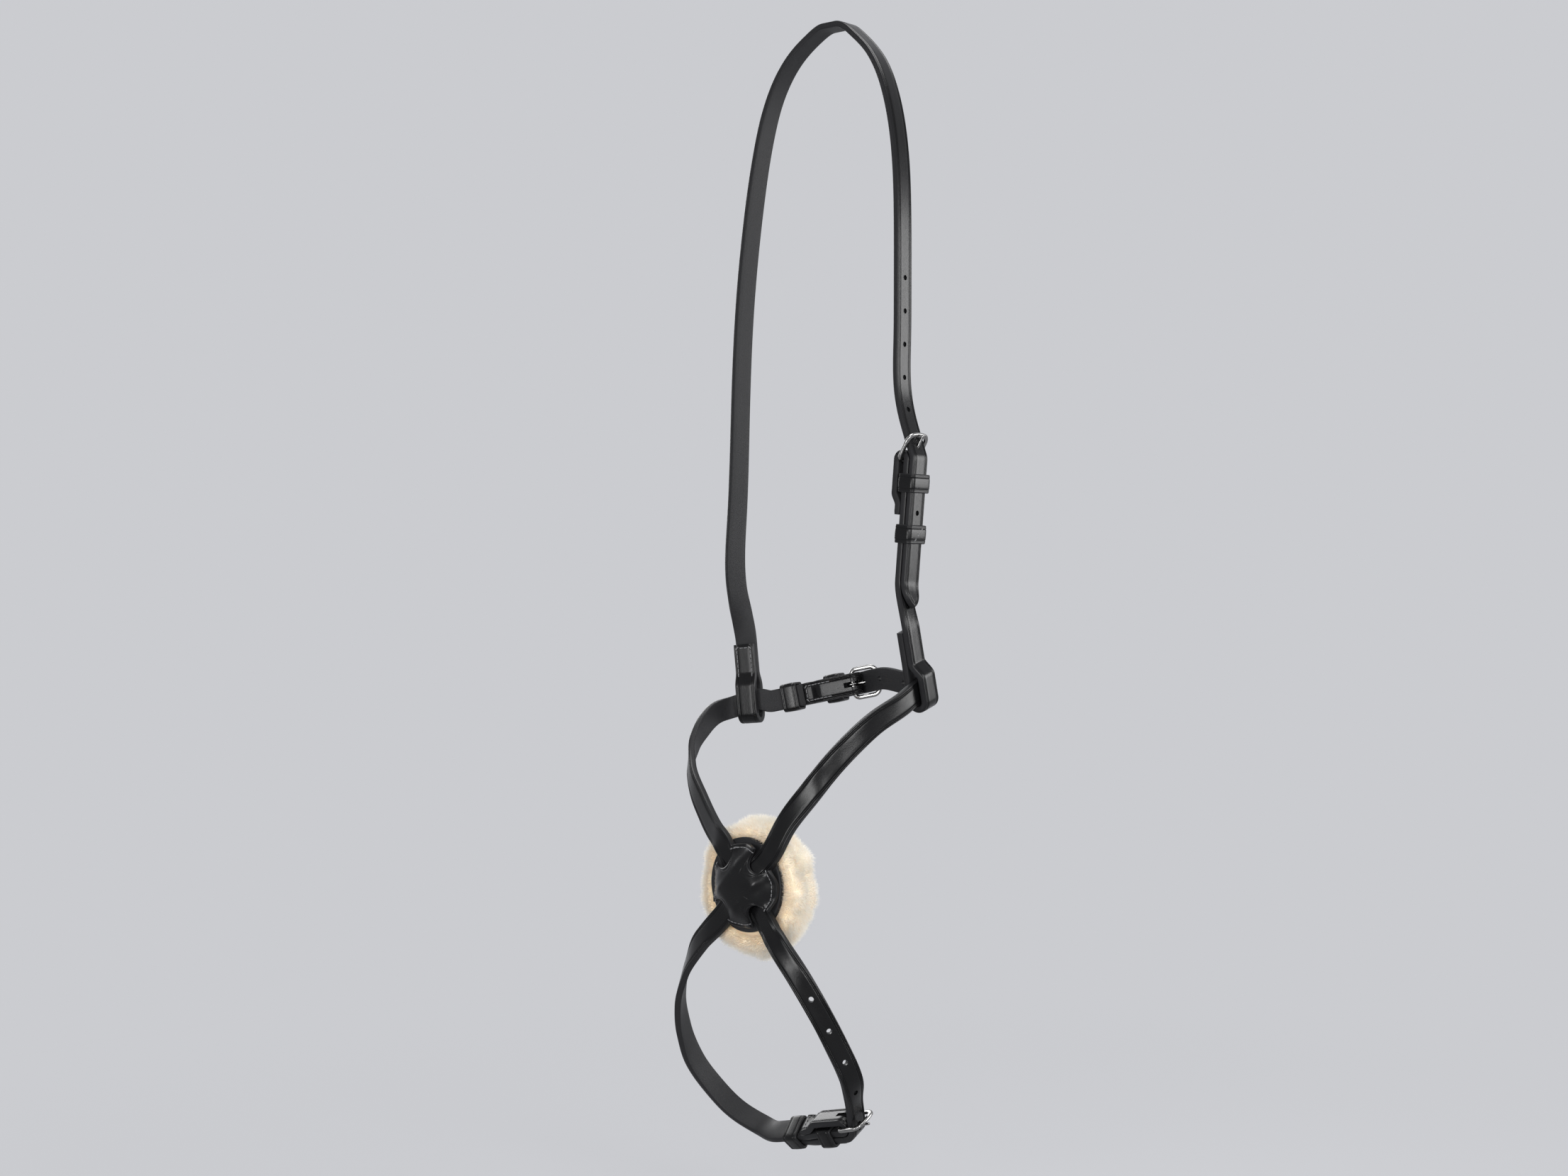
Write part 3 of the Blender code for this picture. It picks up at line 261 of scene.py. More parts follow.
# %% The three buckles: cheek, jaw and chin
cheek_seat = Seat(head_place(0.898, 0.163, 0.6495), Vector((0.09, 0.0, 1.0)), Vector((1.0, 0.0, 0.0)),
                  math.radians(25), 0.0, 0.0, HEAD_THICK, 0.0852, 0.021, 0.0220, HEAD_PITCH)
jaw_seat = Seat(nose_place(-0.030, -0.245, -0.033), Vector((0.925, 0.30, 0.205)), Vector((-0.3, 0.95, 0.0)),
                math.radians(20), 0.0, 0.0, NOSE_THICK, 0.053, 0.007, 0.0155, NOSE_PITCH)
chin_seat = Seat(nose_place(0.516, 0.443, 0.9595), Vector((0.96, -0.055, 0.215)), Vector((0.245, 0.408, -0.88)),
                 math.radians(-2), math.radians(13), math.radians(20), NOSE_THICK, 0.053, 0.007, 0.0255,
                 NOSE_PITCH)
seats = {"cheek": cheek_seat, "jaw": jaw_seat, "chin": chin_seat}
print("heel bars", {name: [round(value, 4) for value in seat.heel] for name, seat in seats.items()})

# %% [markdown]
# ## Loops that hang the nose straps
#
# Each head strap ends in a loop: it runs down outside a nose strap, under it, up inside, and is sewn
# to itself. It is the same idea as a buckle seat, a place that gives a route.

# %% A loop's route round a nose strap
class Loop:
    """A strap end down a nose strap's outer face, under it and up its inner face."""

    def __init__(self, nose_route, length, thick, inset_share, upright_share):
        self.middle, self.along, across, self.out = nose_route.one(length)
        square = across if across.z > 0 else -across
        upright = Vector((0.0, 0.0, 1.0)) - self.out * self.out.z
        self.up = square.lerp(upright.normalized(), upright_share).normalized()
        self.drop = STRAP_WIDTH / 2 * math.tan(square.angle(self.up))
        self.wide = NOSE_THICK / 2 + LOOP_PLAY + thick / 2
        self.close = (thick + GAP) / 2
        self.inset = -inset_share * (self.wide - self.close)
        self.top = STRAP_WIDTH / 2 + LOOP_TURN

    def samples(self):
        foot = -STRAP_WIDTH / 2 + NOSE_THICK / 4 - self.drop
        walls = []
        for side in (1, -1):
            wall = []
            for up in np.linspace(self.top, foot, 3 * STEPS + 1):
                rise = float(ease((up - STRAP_WIDTH / 2 - self.drop - LOOP_PLAY) / LOOP_EASE))
                out = side * self.wide + (self.inset + side * (self.close - self.wide)) * rise
                wall.append((self.middle + self.out * out + self.up * up, self.out * side))
            walls.append(wall)
        turn = []
        for angle in np.linspace(0, math.pi, 2 * STEPS + 1)[1:-1]:
            way = self.out * math.cos(angle) - self.up * math.sin(angle)
            turn.append((self.middle + self.up * foot + way * self.wide, way))
        return walls[0] + turn + walls[1][::-1]


# %% [markdown]
# ## Where the straps cross
#
# One nose strap lies flat on the patch's backing and the other rises over it. The leather cover is
# then moulded wet over both, so its height follows the two straps. A formula for that height drapes
# the cover, the wool sits behind it, and the straps take their marks from the same plane.

# %% The patch's plane
class Patch:
    """The plane in which the two nose straps cross."""

    def __init__(self):
        self.middle = nose_place(-0.019, 0.975, 0.412)
        self.facing = Vector((-math.sin(PATCH_TURN), -math.cos(PATCH_TURN), 0.0))
        self.side = Vector((math.cos(PATCH_TURN), -math.sin(PATCH_TURN), 0.0))
        self.ways = [Vector((0.62, -0.785)).normalized(), Vector((0.69, 0.724)).normalized()]
        self.floor = -NOSE_THICK / 2 - GAP
        self.notch = STRAP_WIDTH / 2 + NOTCH_PLAY
        self.wool_front = self.floor - BACKING_THICK - HIDE_THICK - 2 * GAP

    def points(self, flat):
        """Places of (x, z, out) rows in the patch's plane."""
        turn = np.array([self.side[:], (0.0, 0.0, 1.0), self.facing[:]])
        return np.array(self.middle[:]) + np.asarray(flat, float) @ turn

    def rise(self, distance, spare=0.0):
        """How far the upper strap stands out, at a distance from the crossing."""
        flat = STRAP_WIDTH / 2 + CROSS_EASE
        return (NOSE_THICK + GAP) * (1 - ease((np.abs(distance) - flat - spare) / CROSS_FALL))

    def strap_marks(self, way, crosses_over):
        flat, fall = STRAP_WIDTH / 2 + CROSS_EASE, CROSS_FALL
        outer = [flat / 2, flat, flat + fall / 4, flat + fall / 2, flat + 3 * fall / 4, flat + fall]
        outer.append(max(BACKING_RADIUS + BACKING_SET_OVER, flat + fall) + GAP)
        marks = []
        for distance in [-place for place in outer[::-1]] + [0.0] + outer:
            out = float(self.rise(distance)) if crosses_over else 0.0
            marks.append((Vector(self.points([(way.x * distance, way.y * distance, out)])[0]), self.facing))
        return marks

    def height(self, x, z):
        """Underside of the cover above the backing, draped over both straps."""
        total = 0.0
        for over, way in enumerate(self.ways):
            along, aside = x * way.x + z * way.y, np.abs(x * way.y - z * way.x)
            top = NOSE_THICK + 2 * GAP + over * self.rise(along, NOSE_THICK / 3)
            reach = (aside - STRAP_WIDTH / 2 - 3 * GAP) / COVER_FALL
            total = total + (GAP + (top - GAP) * (1 - ease(reach))) ** 6
        return total ** (1 / 6)

    def moulded(self, x, z):
        """The same, filled out to the smooth dome that wet leather takes when it is moulded."""
        share = np.clip(np.hypot(x, z) / COVER_RADIUS, 0.0, 1.0)
        return (self.height(x, z) ** 8 + (COVER_DOME * (1 - share ** 3)) ** 8) ** (1 / 8)


patch = Patch()

# %% [markdown]
# ## The free stretches
#
# Away from buckles, loops and the patch a strap hangs in its own smooth curve. A few marks on each
# stretch, as shares of the head's width, reach and drop, give the place of the strap and the way its
# outer face looks. A smooth line through them does the rest.

# %% Marks of the nose straps
OFF_SIDE_UPPER = (
    ((-0.860, -0.052, 0.009), (-0.33, 0.94, 0.0)), ((-0.957, -0.022, 0.0135), (-0.36, 0.93, 0.0)),
    ((-1.080, 0.024, 0.027), (-0.46, 0.88, 0.0)), ((-1.122, 0.190, 0.040), (-0.99, 0.10, 0.0)),
    ((-1.100, 0.340, 0.064), (-0.99, -0.13, 0.0)), ((-1.057, 0.503, 0.107), (-0.88, -0.47, 0.0)),
    ((-0.945, 0.648, 0.169), (-0.58, -0.81, 0.0)), ((-0.684, 0.790, 0.240), (-0.26, -0.97, 0.0)),
    ((-0.387, 0.925, 0.300), (-0.16, -0.99, 0.0)))
OFF_SIDE_LOWER = (
    ((0.275, 0.958, 0.530), (0.14, -0.99, 0.0)), ((0.420, 0.920, 0.590), (0.38, -0.92, 0.0)),
    ((0.540, 0.868, 0.650), (0.58, -0.81, 0.0)), ((0.628, 0.800, 0.710), (0.71, -0.70, 0.0)),
    ((0.695, 0.710, 0.778), (0.81, -0.58, 0.0)), ((0.735, 0.620, 0.845), (0.90, -0.43, 0.0)))
NEAR_SIDE_LOWER = (
    ((-0.500, 0.290, 1.022), (-0.16, 0.54, -0.83)), ((-0.720, 0.345, 0.992), (-0.44, 0.50, -0.75)),
    ((-0.897, 0.440, 0.936), (-0.78, 0.34, -0.53)), ((-0.989, 0.562, 0.870), (-0.95, 0.12, -0.25)),
    ((-1.000, 0.675, 0.792), (-0.97, -0.20, -0.12)), ((-0.927, 0.785, 0.712), (-0.90, -0.42, 0.0)),
    ((-0.758, 0.880, 0.630), (-0.84, -0.54, 0.0)), ((-0.504, 0.957, 0.548), (-0.44, -0.90, 0.0)))
NEAR_SIDE_UPPER = (
    ((0.361, 0.955, 0.274), (-0.02, -1.00, 0.0)), ((0.550, 0.905, 0.201), (0.26, -0.97, 0.0)),
    ((0.700, 0.822, 0.137), (0.66, -0.75, 0.0)), ((0.821, 0.680, 0.078), (0.82, -0.57, 0.0)),
    ((0.900, 0.490, 0.031), (0.92, -0.38, 0.0)), ((0.947, 0.285, -0.001), (0.98, -0.18, 0.0)),
    ((0.953, 0.070, -0.033), (1.0, 0.03, 0.0)), ((0.896, -0.118, -0.041), (0.85, 0.53, 0.0)),
    ((0.765, -0.193, -0.041), (0.45, 0.89, 0.0)), ((0.590, -0.237, -0.039), (0.32, 0.95, 0.0)))

# %% Marks of the headpiece
CROWN_OFF_SIDE = (
    ((-1.018, 0.072, 0.834), (-1.0, 0.30, 0.0)), ((-1.020, 0.068, 0.725), (-1.0, 0.20, 0.0)),
    ((-0.998, 0.050, 0.561), (-1.0, 0.15, 0.0)), ((-0.945, 0.050, 0.398), (-1.0, 0.12, 0.08)),
    ((-0.849, 0.050, 0.263), (-1.0, 0.10, 0.20)), ((-0.745, 0.037, 0.157), (-0.94, 0.05, 0.34)),
    ((-0.599, 0.025, 0.079), (-0.82, 0.0, 0.57)), ((-0.399, 0.012, 0.030), (-0.62, 0.0, 0.78)),
    ((-0.200, 0.000, 0.004), (-0.28, 0.0, 0.96)))
CROWN_NEAR_SIDE = (
    ((0.240, 0.012, 0.012), (0.46, 0.0, 0.89)), ((0.473, 0.050, 0.052), (0.78, 0.0, 0.62)),
    ((0.670, 0.100, 0.114), (0.94, 0.0, 0.34)), ((0.792, 0.137, 0.195), (0.99, 0.0, 0.14)),
    ((0.845, 0.163, 0.299), (1.0, 0.0, 0.02)), ((0.846, 0.163, 0.401), (1.0, 0.0, 0.0)),
    ((0.842, 0.163, 0.477), (1.0, 0.0, -0.03)), ((0.850, 0.162, 0.554), (1.0, 0.0, -0.10)))
OFF_LOOP_MARK, NEAR_LOOP_MARK = 1, 6


# %% Routes of the four straps
def marks_from(table, place):
    return [(place(*shares), Vector(face)) for shares, face in table]


off_marks = (marks_from(OFF_SIDE_UPPER, nose_place) + patch.strap_marks(patch.ways[0], False)
             + marks_from(OFF_SIDE_LOWER, nose_place))
near_marks = (marks_from(NEAR_SIDE_LOWER, nose_place) + patch.strap_marks(patch.ways[1], True)
              + marks_from(NEAR_SIDE_UPPER, nose_place))
jaw_chape, chin_chape = jaw_seat.chape(), chin_seat.chape()
off_side = Route(between(jaw_chape, off_marks, chin_seat.billet(Route(chin_chape)),
                         -jaw_seat.ahead, chin_seat.billet_way()))
near_side = Route(between(chin_chape, near_marks, jaw_seat.billet(Route(jaw_chape)),
                          -chin_seat.ahead, jaw_seat.billet_way()))
off_loop = Loop(off_side, off_side.nearest(nose_place(*OFF_SIDE_UPPER[OFF_LOOP_MARK][0])), HEAD_THICK, 0.0, 0.72)
near_loop = Loop(near_side, near_side.nearest(nose_place(*NEAR_SIDE_UPPER[NEAR_LOOP_MARK][0])),
                 NOSE_THICK, 0.9, 0.0)
off_hang, near_hang = off_loop.samples(), near_loop.samples()
cheek = Route(between(cheek_seat.chape(), [], near_hang, -cheek_seat.ahead, -near_loop.up))
sideways, up = Vector((CROWN_FLAT / 2, 0.0, 0.0)), Vector((0.0, 0.0, 1.0))
poll = [(up * HEAD_THICK / 2 + sideways * share, up) for share in (-1.0, 0.0, 1.0)]
lower = between(off_hang[::-1], marks_from(CROWN_OFF_SIDE, head_place), poll, off_loop.up, sideways)
head = Route(between(lower, marks_from(CROWN_NEAR_SIDE, head_place), cheek_seat.billet(cheek),
                     sideways, cheek_seat.billet_way()))
print("lengths in mm", {name: round(route.length / MM) for name, route in
                        (("headpiece", head), ("cheek", cheek), ("off side", off_side), ("near side", near_side))})

# %% [markdown]
# ## Nodes written as sums
#
# Finishes and Geometry Nodes trees are both node trees. Wiring them by hand in a script is long and
# hard to read, so one class adds any node from its type, its settings and its sockets, and another
# wraps a socket so that a sum such as 1 - mask adds the Math node for it.

# %% A tree of nodes, and a socket that takes part in sums
class Number:
    """A socket that holds a number. Sums with it add Math nodes."""

    def __init__(self, nodes, socket):
        self.nodes, self.socket = nodes, socket

    def math(self, operation, first, second=None, clamp=False):
        sockets = {"Value": first} if second is None else {"Value": first, "Value_001": second}
        made = self.nodes.add("ShaderNodeMath", {"operation": operation, "use_clamp": clamp}, sockets)
        return Number(self.nodes, made.outputs[0])

    def __add__(self, other):
        return self.math("ADD", self, other)

    def __radd__(self, other):
        return self.math("ADD", other, self)

    def __sub__(self, other):
        return self.math("SUBTRACT", self, other)

    def __rsub__(self, other):
        return self.math("SUBTRACT", other, self)

    def __mul__(self, other):
        return self.math("MULTIPLY", self, other)

    def __rmul__(self, other):
        return self.math("MULTIPLY", other, self)

    def __truediv__(self, other):
        return self.math("DIVIDE", self, other)

    def __rtruediv__(self, other):
        return self.math("DIVIDE", other, self)

    def __gt__(self, other):
        return self.math("GREATER_THAN", self, other)

    def __lt__(self, other):
        return self.math("LESS_THAN", self, other)

    def __abs__(self):
        return self.math("ABSOLUTE", self)

    def clamped(self):
        return self.math("ADD", self, 0.0, clamp=True)

    def smooth(self, low, high):
        """0 below low, 1 above high, and a soft step between them."""
        made = self.nodes.add("ShaderNodeMapRange", {"interpolation_type": "SMOOTHSTEP"},
                              {"Value": self, "From Min": low, "From Max": high})
        return Number(self.nodes, made.outputs[0])


class Nodes:
    """A node tree that grows by one method."""

    def __init__(self, tree):
        self.tree = tree

    def add(self, kind, settings=(), sockets=()):
        made = self.tree.nodes.new(kind)
        for name, value in dict(settings).items():
            if name == "stops":
                self.set_stops(made.color_ramp, value)
            else:
                setattr(made, name, value)
        for key, value in dict(sockets).items():
            found = [s for s in made.inputs if s.identifier == key] or [s for s in made.inputs if s.name == key]
            value = value.socket if isinstance(value, Number) else value
            if isinstance(value, bpy.types.NodeSocket):
                self.tree.links.new(value, found[0])
            else:
                found[0].default_value = value
        return made

    def set_stops(self, ramp, stops):
        while len(ramp.elements) < len(stops):
            ramp.elements.new(0.5)
        for element, (position, colour) in zip(ramp.elements, stops):
            element.position, element.color = position, (*colour, 1.0)


# %% A finish: one Principled shader and the patterns that feed it
class Finish(Nodes):
    """A material with one Principled shader, painted in the piece's own coordinates."""

    def __init__(self, name, **constants):
        self.material = bpy.data.materials.new(name)
        self.material.use_nodes = True
        super().__init__(self.material.node_tree)
        self.shader = self.tree.nodes["Principled BSDF"]
        for name, value in constants.items():
            self.shader.inputs[name.replace("_", " ")].default_value = value

    def attribute(self, name):
        return self.add("ShaderNodeAttribute", {"attribute_name": name})

    def parts(self, vector):
        made = self.add("ShaderNodeSeparateXYZ", {}, {"Vector": vector})
        return [Number(self, socket) for socket in made.outputs]

    def scaled(self, vector, by):
        """A vector in metres, turned into pattern steps with its own scale for each axis."""
        return self.add("ShaderNodeVectorMath", {"operation": "MULTIPLY"},
                        {"Vector": vector, "Vector_001": by}).outputs[0]

    def cloud(self, vector, scale, detail=2.0, rough=0.5):
        made = self.add("ShaderNodeTexNoise", {}, {"Vector": vector, "Scale": scale, "Detail": detail,
                                                   "Roughness": rough})
        return Number(self, made.outputs[0])

    def cells(self, vector, scale, feature="F1"):
        made = self.add("ShaderNodeTexVoronoi", {"feature": feature}, {"Vector": vector, "Scale": scale})
        return Number(self, made.outputs[0])

    def mixed(self, share, first, second):
        made = self.add("ShaderNodeMix", {"data_type": "RGBA"},
                        {"Factor_Float": share, "A_Color": first, "B_Color": second})
        return next(socket for socket in made.outputs if socket.identifier == "Result_Color")

    def feed(self, name, value):
        value = value.socket if isinstance(value, Number) else value
        self.tree.links.new(value, self.shader.inputs[name])

    def bump(self, height, distance, strength=1.0):
        made = self.add("ShaderNodeBump", {}, {"Height": height, "Distance": distance, "Strength": strength})
        self.feed("Normal", made.outputs[0])


# %% [markdown]
# ## Strap leather
#
# Bridle leather is dyed black, waxed and rubbed up on its grain side, so it is smooth there with a
# soft broad shine, duller and grainier on the flesh side, and its cut edges are dyed and burnished.
# One material does all three: every strap carries its flat coordinates as an attribute, so the
# finish knows how far along it is, how far in from the edge, and which face it is on.

# %% The strap leather's finish
def strap_leather():
    finish = Finish("strap_leather", Specular_IOR_Level=0.16, Coat_Roughness=0.16)
    flat = finish.attribute("flat").outputs["Vector"]
    along, across, out = finish.parts(finish.scaled(flat, (1000.0, 1000.0, 1000.0)))
    edge = Number(finish, finish.attribute("edge").outputs["Fac"]) * 1000.0
    outer = out.smooth(0.2, 1.2)
    steps = finish.scaled(flat, (1000.0, 1000.0, 1000.0))
    drawn = finish.scaled(flat, (300.0, 1000.0, 1000.0))
    pores = finish.cells(steps, 2.6)
    grain = finish.cloud(steps, 3.2, 3.0, 0.6)
    flesh = finish.cloud(steps, 1.9, 4.0, 0.65)
    patina = finish.cloud(drawn, 0.10, 3.0)
    streak = finish.cloud(finish.scaled(flat, (60.0, 1400.0, 400.0)), 1.0, 2.0)
    rim = 1 - edge.smooth(0.15, 0.65)
    dark = finish.mixed(patina, (0.0018, 0.0018, 0.0020, 1.0), (0.0042, 0.0042, 0.0046, 1.0))
    back = finish.mixed(flesh, (0.0030, 0.0030, 0.0033, 1.0), (0.0230, 0.0232, 0.0250, 1.0))
    faces = finish.mixed(outer, back, dark)
    finish.feed("Base Color", finish.mixed((rim * 0.7).clamped(), faces, (0.010, 0.010, 0.011, 1.0)))
    gloss = 0.20 + patina * 0.08 + streak * 0.05
    dull = 0.40 + flesh * 0.16
    finish.feed("Roughness", (gloss * outer + dull * (1 - outer) + rim * 0.06).clamped())
    finish.feed("Coat Weight", (outer * 0.05).clamped())
    skin = (pores * 0.5 + grain * 0.5) * 0.035
    finish.bump(skin * outer + (1 - outer) * flesh * 0.16 + streak * 0.012, 0.001)
    return finish.material


leather = strap_leather()
print("strap leather has", len(leather.node_tree.nodes), "nodes")

# %% [markdown]
# ## Cutting, creasing and punching a strap
#
# A saddler cuts the strap, rounds and burnishes its edges, and draws a hot creaser along it twice,
# which leaves two fine grooves inside each edge that also run round the pointed tip. A flat grid of
# rings can carry all of that: each ring is one cross-section with its grooves, and its half width
# comes from the outline. The holes are cut by a Boolean while the strap is flat, as a punch would.

# %% One cross-section: distance in from the edge and height, in mm
FACE = ((6.5, 0), (4.6, 0.03), (3.1, 0.02), (2.6, -0.02), (2.36, -0.12), (2.12, -0.34), (1.9, -0.12), (1.7, 0),
        (1.5, -0.12), (1.27, -0.34), (1.04, -0.12), (0.84, -0.05), (0.5, -0.10), (0.22, -0.25), (0.06, -0.48))
WALL = ((0.0, -0.85),)
BACK = ((0.1, 0.32), (0.3, 0.09), (0.7, 0.0), (3.5, 0.0), (6.5, 0.0))


def half_width(length, whole):
    """The outline of a strap with an ogive tip, and how it slopes."""
    half = STRAP_WIDTH / 2
    radius = (TIP_LENGTH ** 2 + half ** 2) / (2 * half)
    into = np.clip(length - (whole - TIP_LENGTH), 0.0, TIP_LENGTH)
    drop = np.sqrt(radius ** 2 - into ** 2)
    return drop - (radius - half), np.minimum(np.sqrt(1 + (into / drop) ** 2), 2.5)


def rings_of(lengths, whole, thick, tipped):
    """Rings of a flat strap, X along, Y across and Z out."""
    if tipped:
        half, slant = half_width(lengths, whole)
    else:
        half, slant = np.full(len(lengths), STRAP_WIDTH / 2), np.ones(len(lengths))
    columns = []
    limit = half / slant
    for table, base, sign in ((FACE, thick / 2, 1), (WALL, thick / 2, 1), (WALL, -thick / 2, -1),
                              (BACK, -thick / 2, 1)):
        known = sorted((distance * MM, height * MM) for distance, height in table)
        for distance, height in table:
            inside = np.minimum(distance * MM, limit)
            rise = np.interp(inside, [row[0] for row in known], [row[1] for row in known])
            columns.append((half - inside * slant, base + sign * rise))
    across = np.stack([column[0] for column in columns], axis=1)
    out = np.stack([column[1] for column in columns], axis=1)
    taper = (0.80 + 0.20 * ease(lengths / (1.2 * MM)))[:, None]
    other = slice(-2, 0, -1)
    across = np.concatenate([across, -across[:, other]], axis=1)
    out = np.concatenate([out, out[:, other]], axis=1) * taper
    return np.stack([np.broadcast_to(lengths[:, None], across.shape), across, out], axis=2)


def stations(route, tipped):
    """Where a flat strap is divided: evenly, closer where it bends and at its tip."""
    fine = np.linspace(0.0, route.length, int(route.length / (0.2 * MM)))
    place, along, across, out = route.at(fine)
    turn = sum(np.arccos(np.clip((way[1:] * way[:-1]).sum(axis=1), -1, 1)) for way in (along, out))
    cost = np.diff(fine) / (1.7 * MM) + turn / math.radians(7)
    if tipped:
        cost += np.where(fine[1:] > route.length - TIP_LENGTH, np.diff(fine) / (0.5 * MM), 0.0)
    spent = np.concatenate([[0.0], np.cumsum(cost)])
    return np.interp(np.linspace(0.0, spent[-1], int(spent[-1]) + 2), spent, fine)


# %% Closed meshes from rings of points
def skin(name, rings, closed=False):
    """A mesh through rings of points, with a face over each end unless the rings close on themselves."""
    rows, columns = rings.shape[:2]
    index = np.arange(rows * columns).reshape(rows, columns)
    here = index if closed else index[:-1]
    after = np.roll(index, -1, axis=0)[:len(here)]
    quads = np.stack([here, np.roll(here, -1, 1), np.roll(after, -1, 1), after], axis=-1).reshape(-1, 4)
    faces = quads.tolist()
    if not closed:
        faces += [index[0, ::-1].tolist(), index[-1].tolist()]
    mesh = bpy.data.meshes.new(name)
    mesh.from_pydata(rings.reshape(-1, 3).tolist(), [], faces)
    return mesh


def tidy_shell(mesh, sharp=80.0, merge=0.01 * MM):
    """Merges doubled points, turns faces outwards and smooths all but the sharp edges."""
    work = bmesh.new()
    work.from_mesh(mesh)
    bmesh.ops.remove_doubles(work, verts=work.verts, dist=merge)
    bmesh.ops.recalc_face_normals(work, faces=work.faces)
    work.to_mesh(mesh)
    work.free()
    mesh.shade_smooth()
    mesh.set_sharp_from_angle(angle=math.radians(sharp))
    return mesh


def coordinates(mesh):
    found = np.empty(len(mesh.vertices) * 3)
    mesh.vertices.foreach_get("co", found)
    return found.reshape(-1, 3)


def set_coordinates(mesh, places):
    mesh.vertices.foreach_set("co", np.asarray(places, float).ravel())
    mesh.update()


def note(mesh, name, values):
    """Keeps numbers or vectors with the points of a mesh, for its finish."""
    values = np.asarray(values, float)
    if values.ndim == 2:
        mesh.attributes.new(name, "FLOAT_VECTOR", "POINT").data.foreach_set("vector", values.ravel())
    else:
        mesh.attributes.new(name, "FLOAT", "POINT").data.foreach_set("value", values)


# %% Pieces that stand for CAD nodes
def stand_for(name, mesh, node, finish):
    """Puts a finished mesh in the scene in place of a CAD node, on the body that carries the node."""
    mesh.materials.clear()
    mesh.materials.append(finish)
    piece = bpy.data.objects.new(name, mesh)
    bpy.context.scene.collection.objects.link(piece)
    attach(piece, carrier[node])
    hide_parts(node)
    return piece


# %% The punch
def round_punch(length):
    size = Matrix.Diagonal((HOLE / 2, HOLE / 2, NOSE_THICK + OVERRUN, 1.0))
    return "round", Matrix.Translation((length, 0.0, 0.0)) @ size


def tongue_punch(length, seat):
    lean = Matrix.Rotation(seat.crossing - math.pi / 2, 4, "Y")
    wide = TONGUE_WIRE / 2 + TONGUE_PLAY
    size = Matrix.Diagonal((wide + TONGUE_SWEEP, wide, NOSE_THICK + OVERRUN, 1.0))
    return "round", Matrix.Translation((length, 0.0, 0.0)) @ lean @ size


def slot_punch(route, seat):
    length = route.nearest(seat.point(seat.fold, 0.0))
    reach = math.pi * seat.fold / 2 + seat.ring + TONGUE_WIRE / 2 + GAP
    size = Matrix.Diagonal((2 * reach, TONGUE_WIRE + 2 * TONGUE_PLAY, NOSE_THICK + OVERRUN, 1.0))
    return "slot", Matrix.Translation((length, 0.0, 0.0)) @ size


def billet_punches(route, seat, before, after):
    middle = route.length - seat.tail - seat.dip * seat.over - seat.tongue_hole()
    places = [middle - seat.first - seat.pitch * step for step in range(before)]
    places += [middle + seat.pitch * step for step in range(1, after + 1)]
    return [tongue_punch(middle, seat)] + [round_punch(place) for place in places]


def punched(mesh, punches):
    """The flat strap less its holes and slots."""
    tools = bmesh.new()
    for shape, matrix in punches:
        if shape == "round":
            bmesh.ops.create_cone(tools, cap_ends=True, segments=28, radius1=1.0, radius2=1.0, depth=2.0,
                                  matrix=matrix)
        else:
            bmesh.ops.create_cube(tools, size=1.0, matrix=matrix)
    blank = bpy.data.objects.new("blank", mesh)
    tool = bpy.data.objects.new("punch", bpy.data.meshes.new("punch"))
    tools.to_mesh(tool.data)
    for item in (blank, tool):
        bpy.context.scene.collection.objects.link(item)
    cut = blank.modifiers.new("cut", "BOOLEAN")
    cut.operation, cut.solver, cut.object = "DIFFERENCE", "EXACT", tool
    done = bpy.data.meshes.new_from_object(blank.evaluated_get(bpy.context.evaluated_depsgraph_get()))
    for item in (blank, tool):
        bpy.data.objects.remove(item, do_unlink=True)
    return done


# %% A strap, from the flat blank to its place
def strap(name, node, route, thick, tipped, punches):
    mesh = skin(name, rings_of(stations(route, tipped), route.length, thick, tipped))
    mesh = tidy_shell(punched(tidy_shell(mesh), punches))
    flat = coordinates(mesh)
    half, slant = half_width(flat[:, 0], route.length) if tipped else (STRAP_WIDTH / 2, 1.0)
    note(mesh, "flat", flat)
    note(mesh, "edge", np.maximum((half - np.abs(flat[:, 1])) / slant, 0.0))
    place, along, across, out = route.at(flat[:, 0])
    set_coordinates(mesh, place + across * flat[:, 1:2] + out * flat[:, 2:])
    piece = stand_for(name, mesh, node, leather)
    print(name, len(mesh.vertices), "points")
    return piece


strap("off_side_nose_leather", "off_side_nose_strap", off_side, NOSE_THICK, True,
      [slot_punch(off_side, jaw_seat)] + billet_punches(off_side, chin_seat, 4, 1))
strap("near_side_nose_leather", "near_side_nose_strap", near_side, NOSE_THICK, True,
      [slot_punch(near_side, chin_seat)] + billet_punches(near_side, jaw_seat, 2, 1))
strap("headpiece_leather", "headpiece_strap", head, HEAD_THICK, True, billet_punches(head, cheek_seat, 5, 2))
strap("cheek_leather", "cheek_strap", cheek, NOSE_THICK, False, [slot_punch(cheek, cheek_seat)])

# %% [markdown]
# ## Keepers
#
# A keeper is a short leather band round both layers at a buckle. One is sewn into the chape and one
# slides. The band is thin, its corners are rounded by hand and it is creased like the straps, which
# leaves a raised middle. A closed sweep does it: a cross-section of the band, carried round a
# rounded rectangle, with no end to cap.

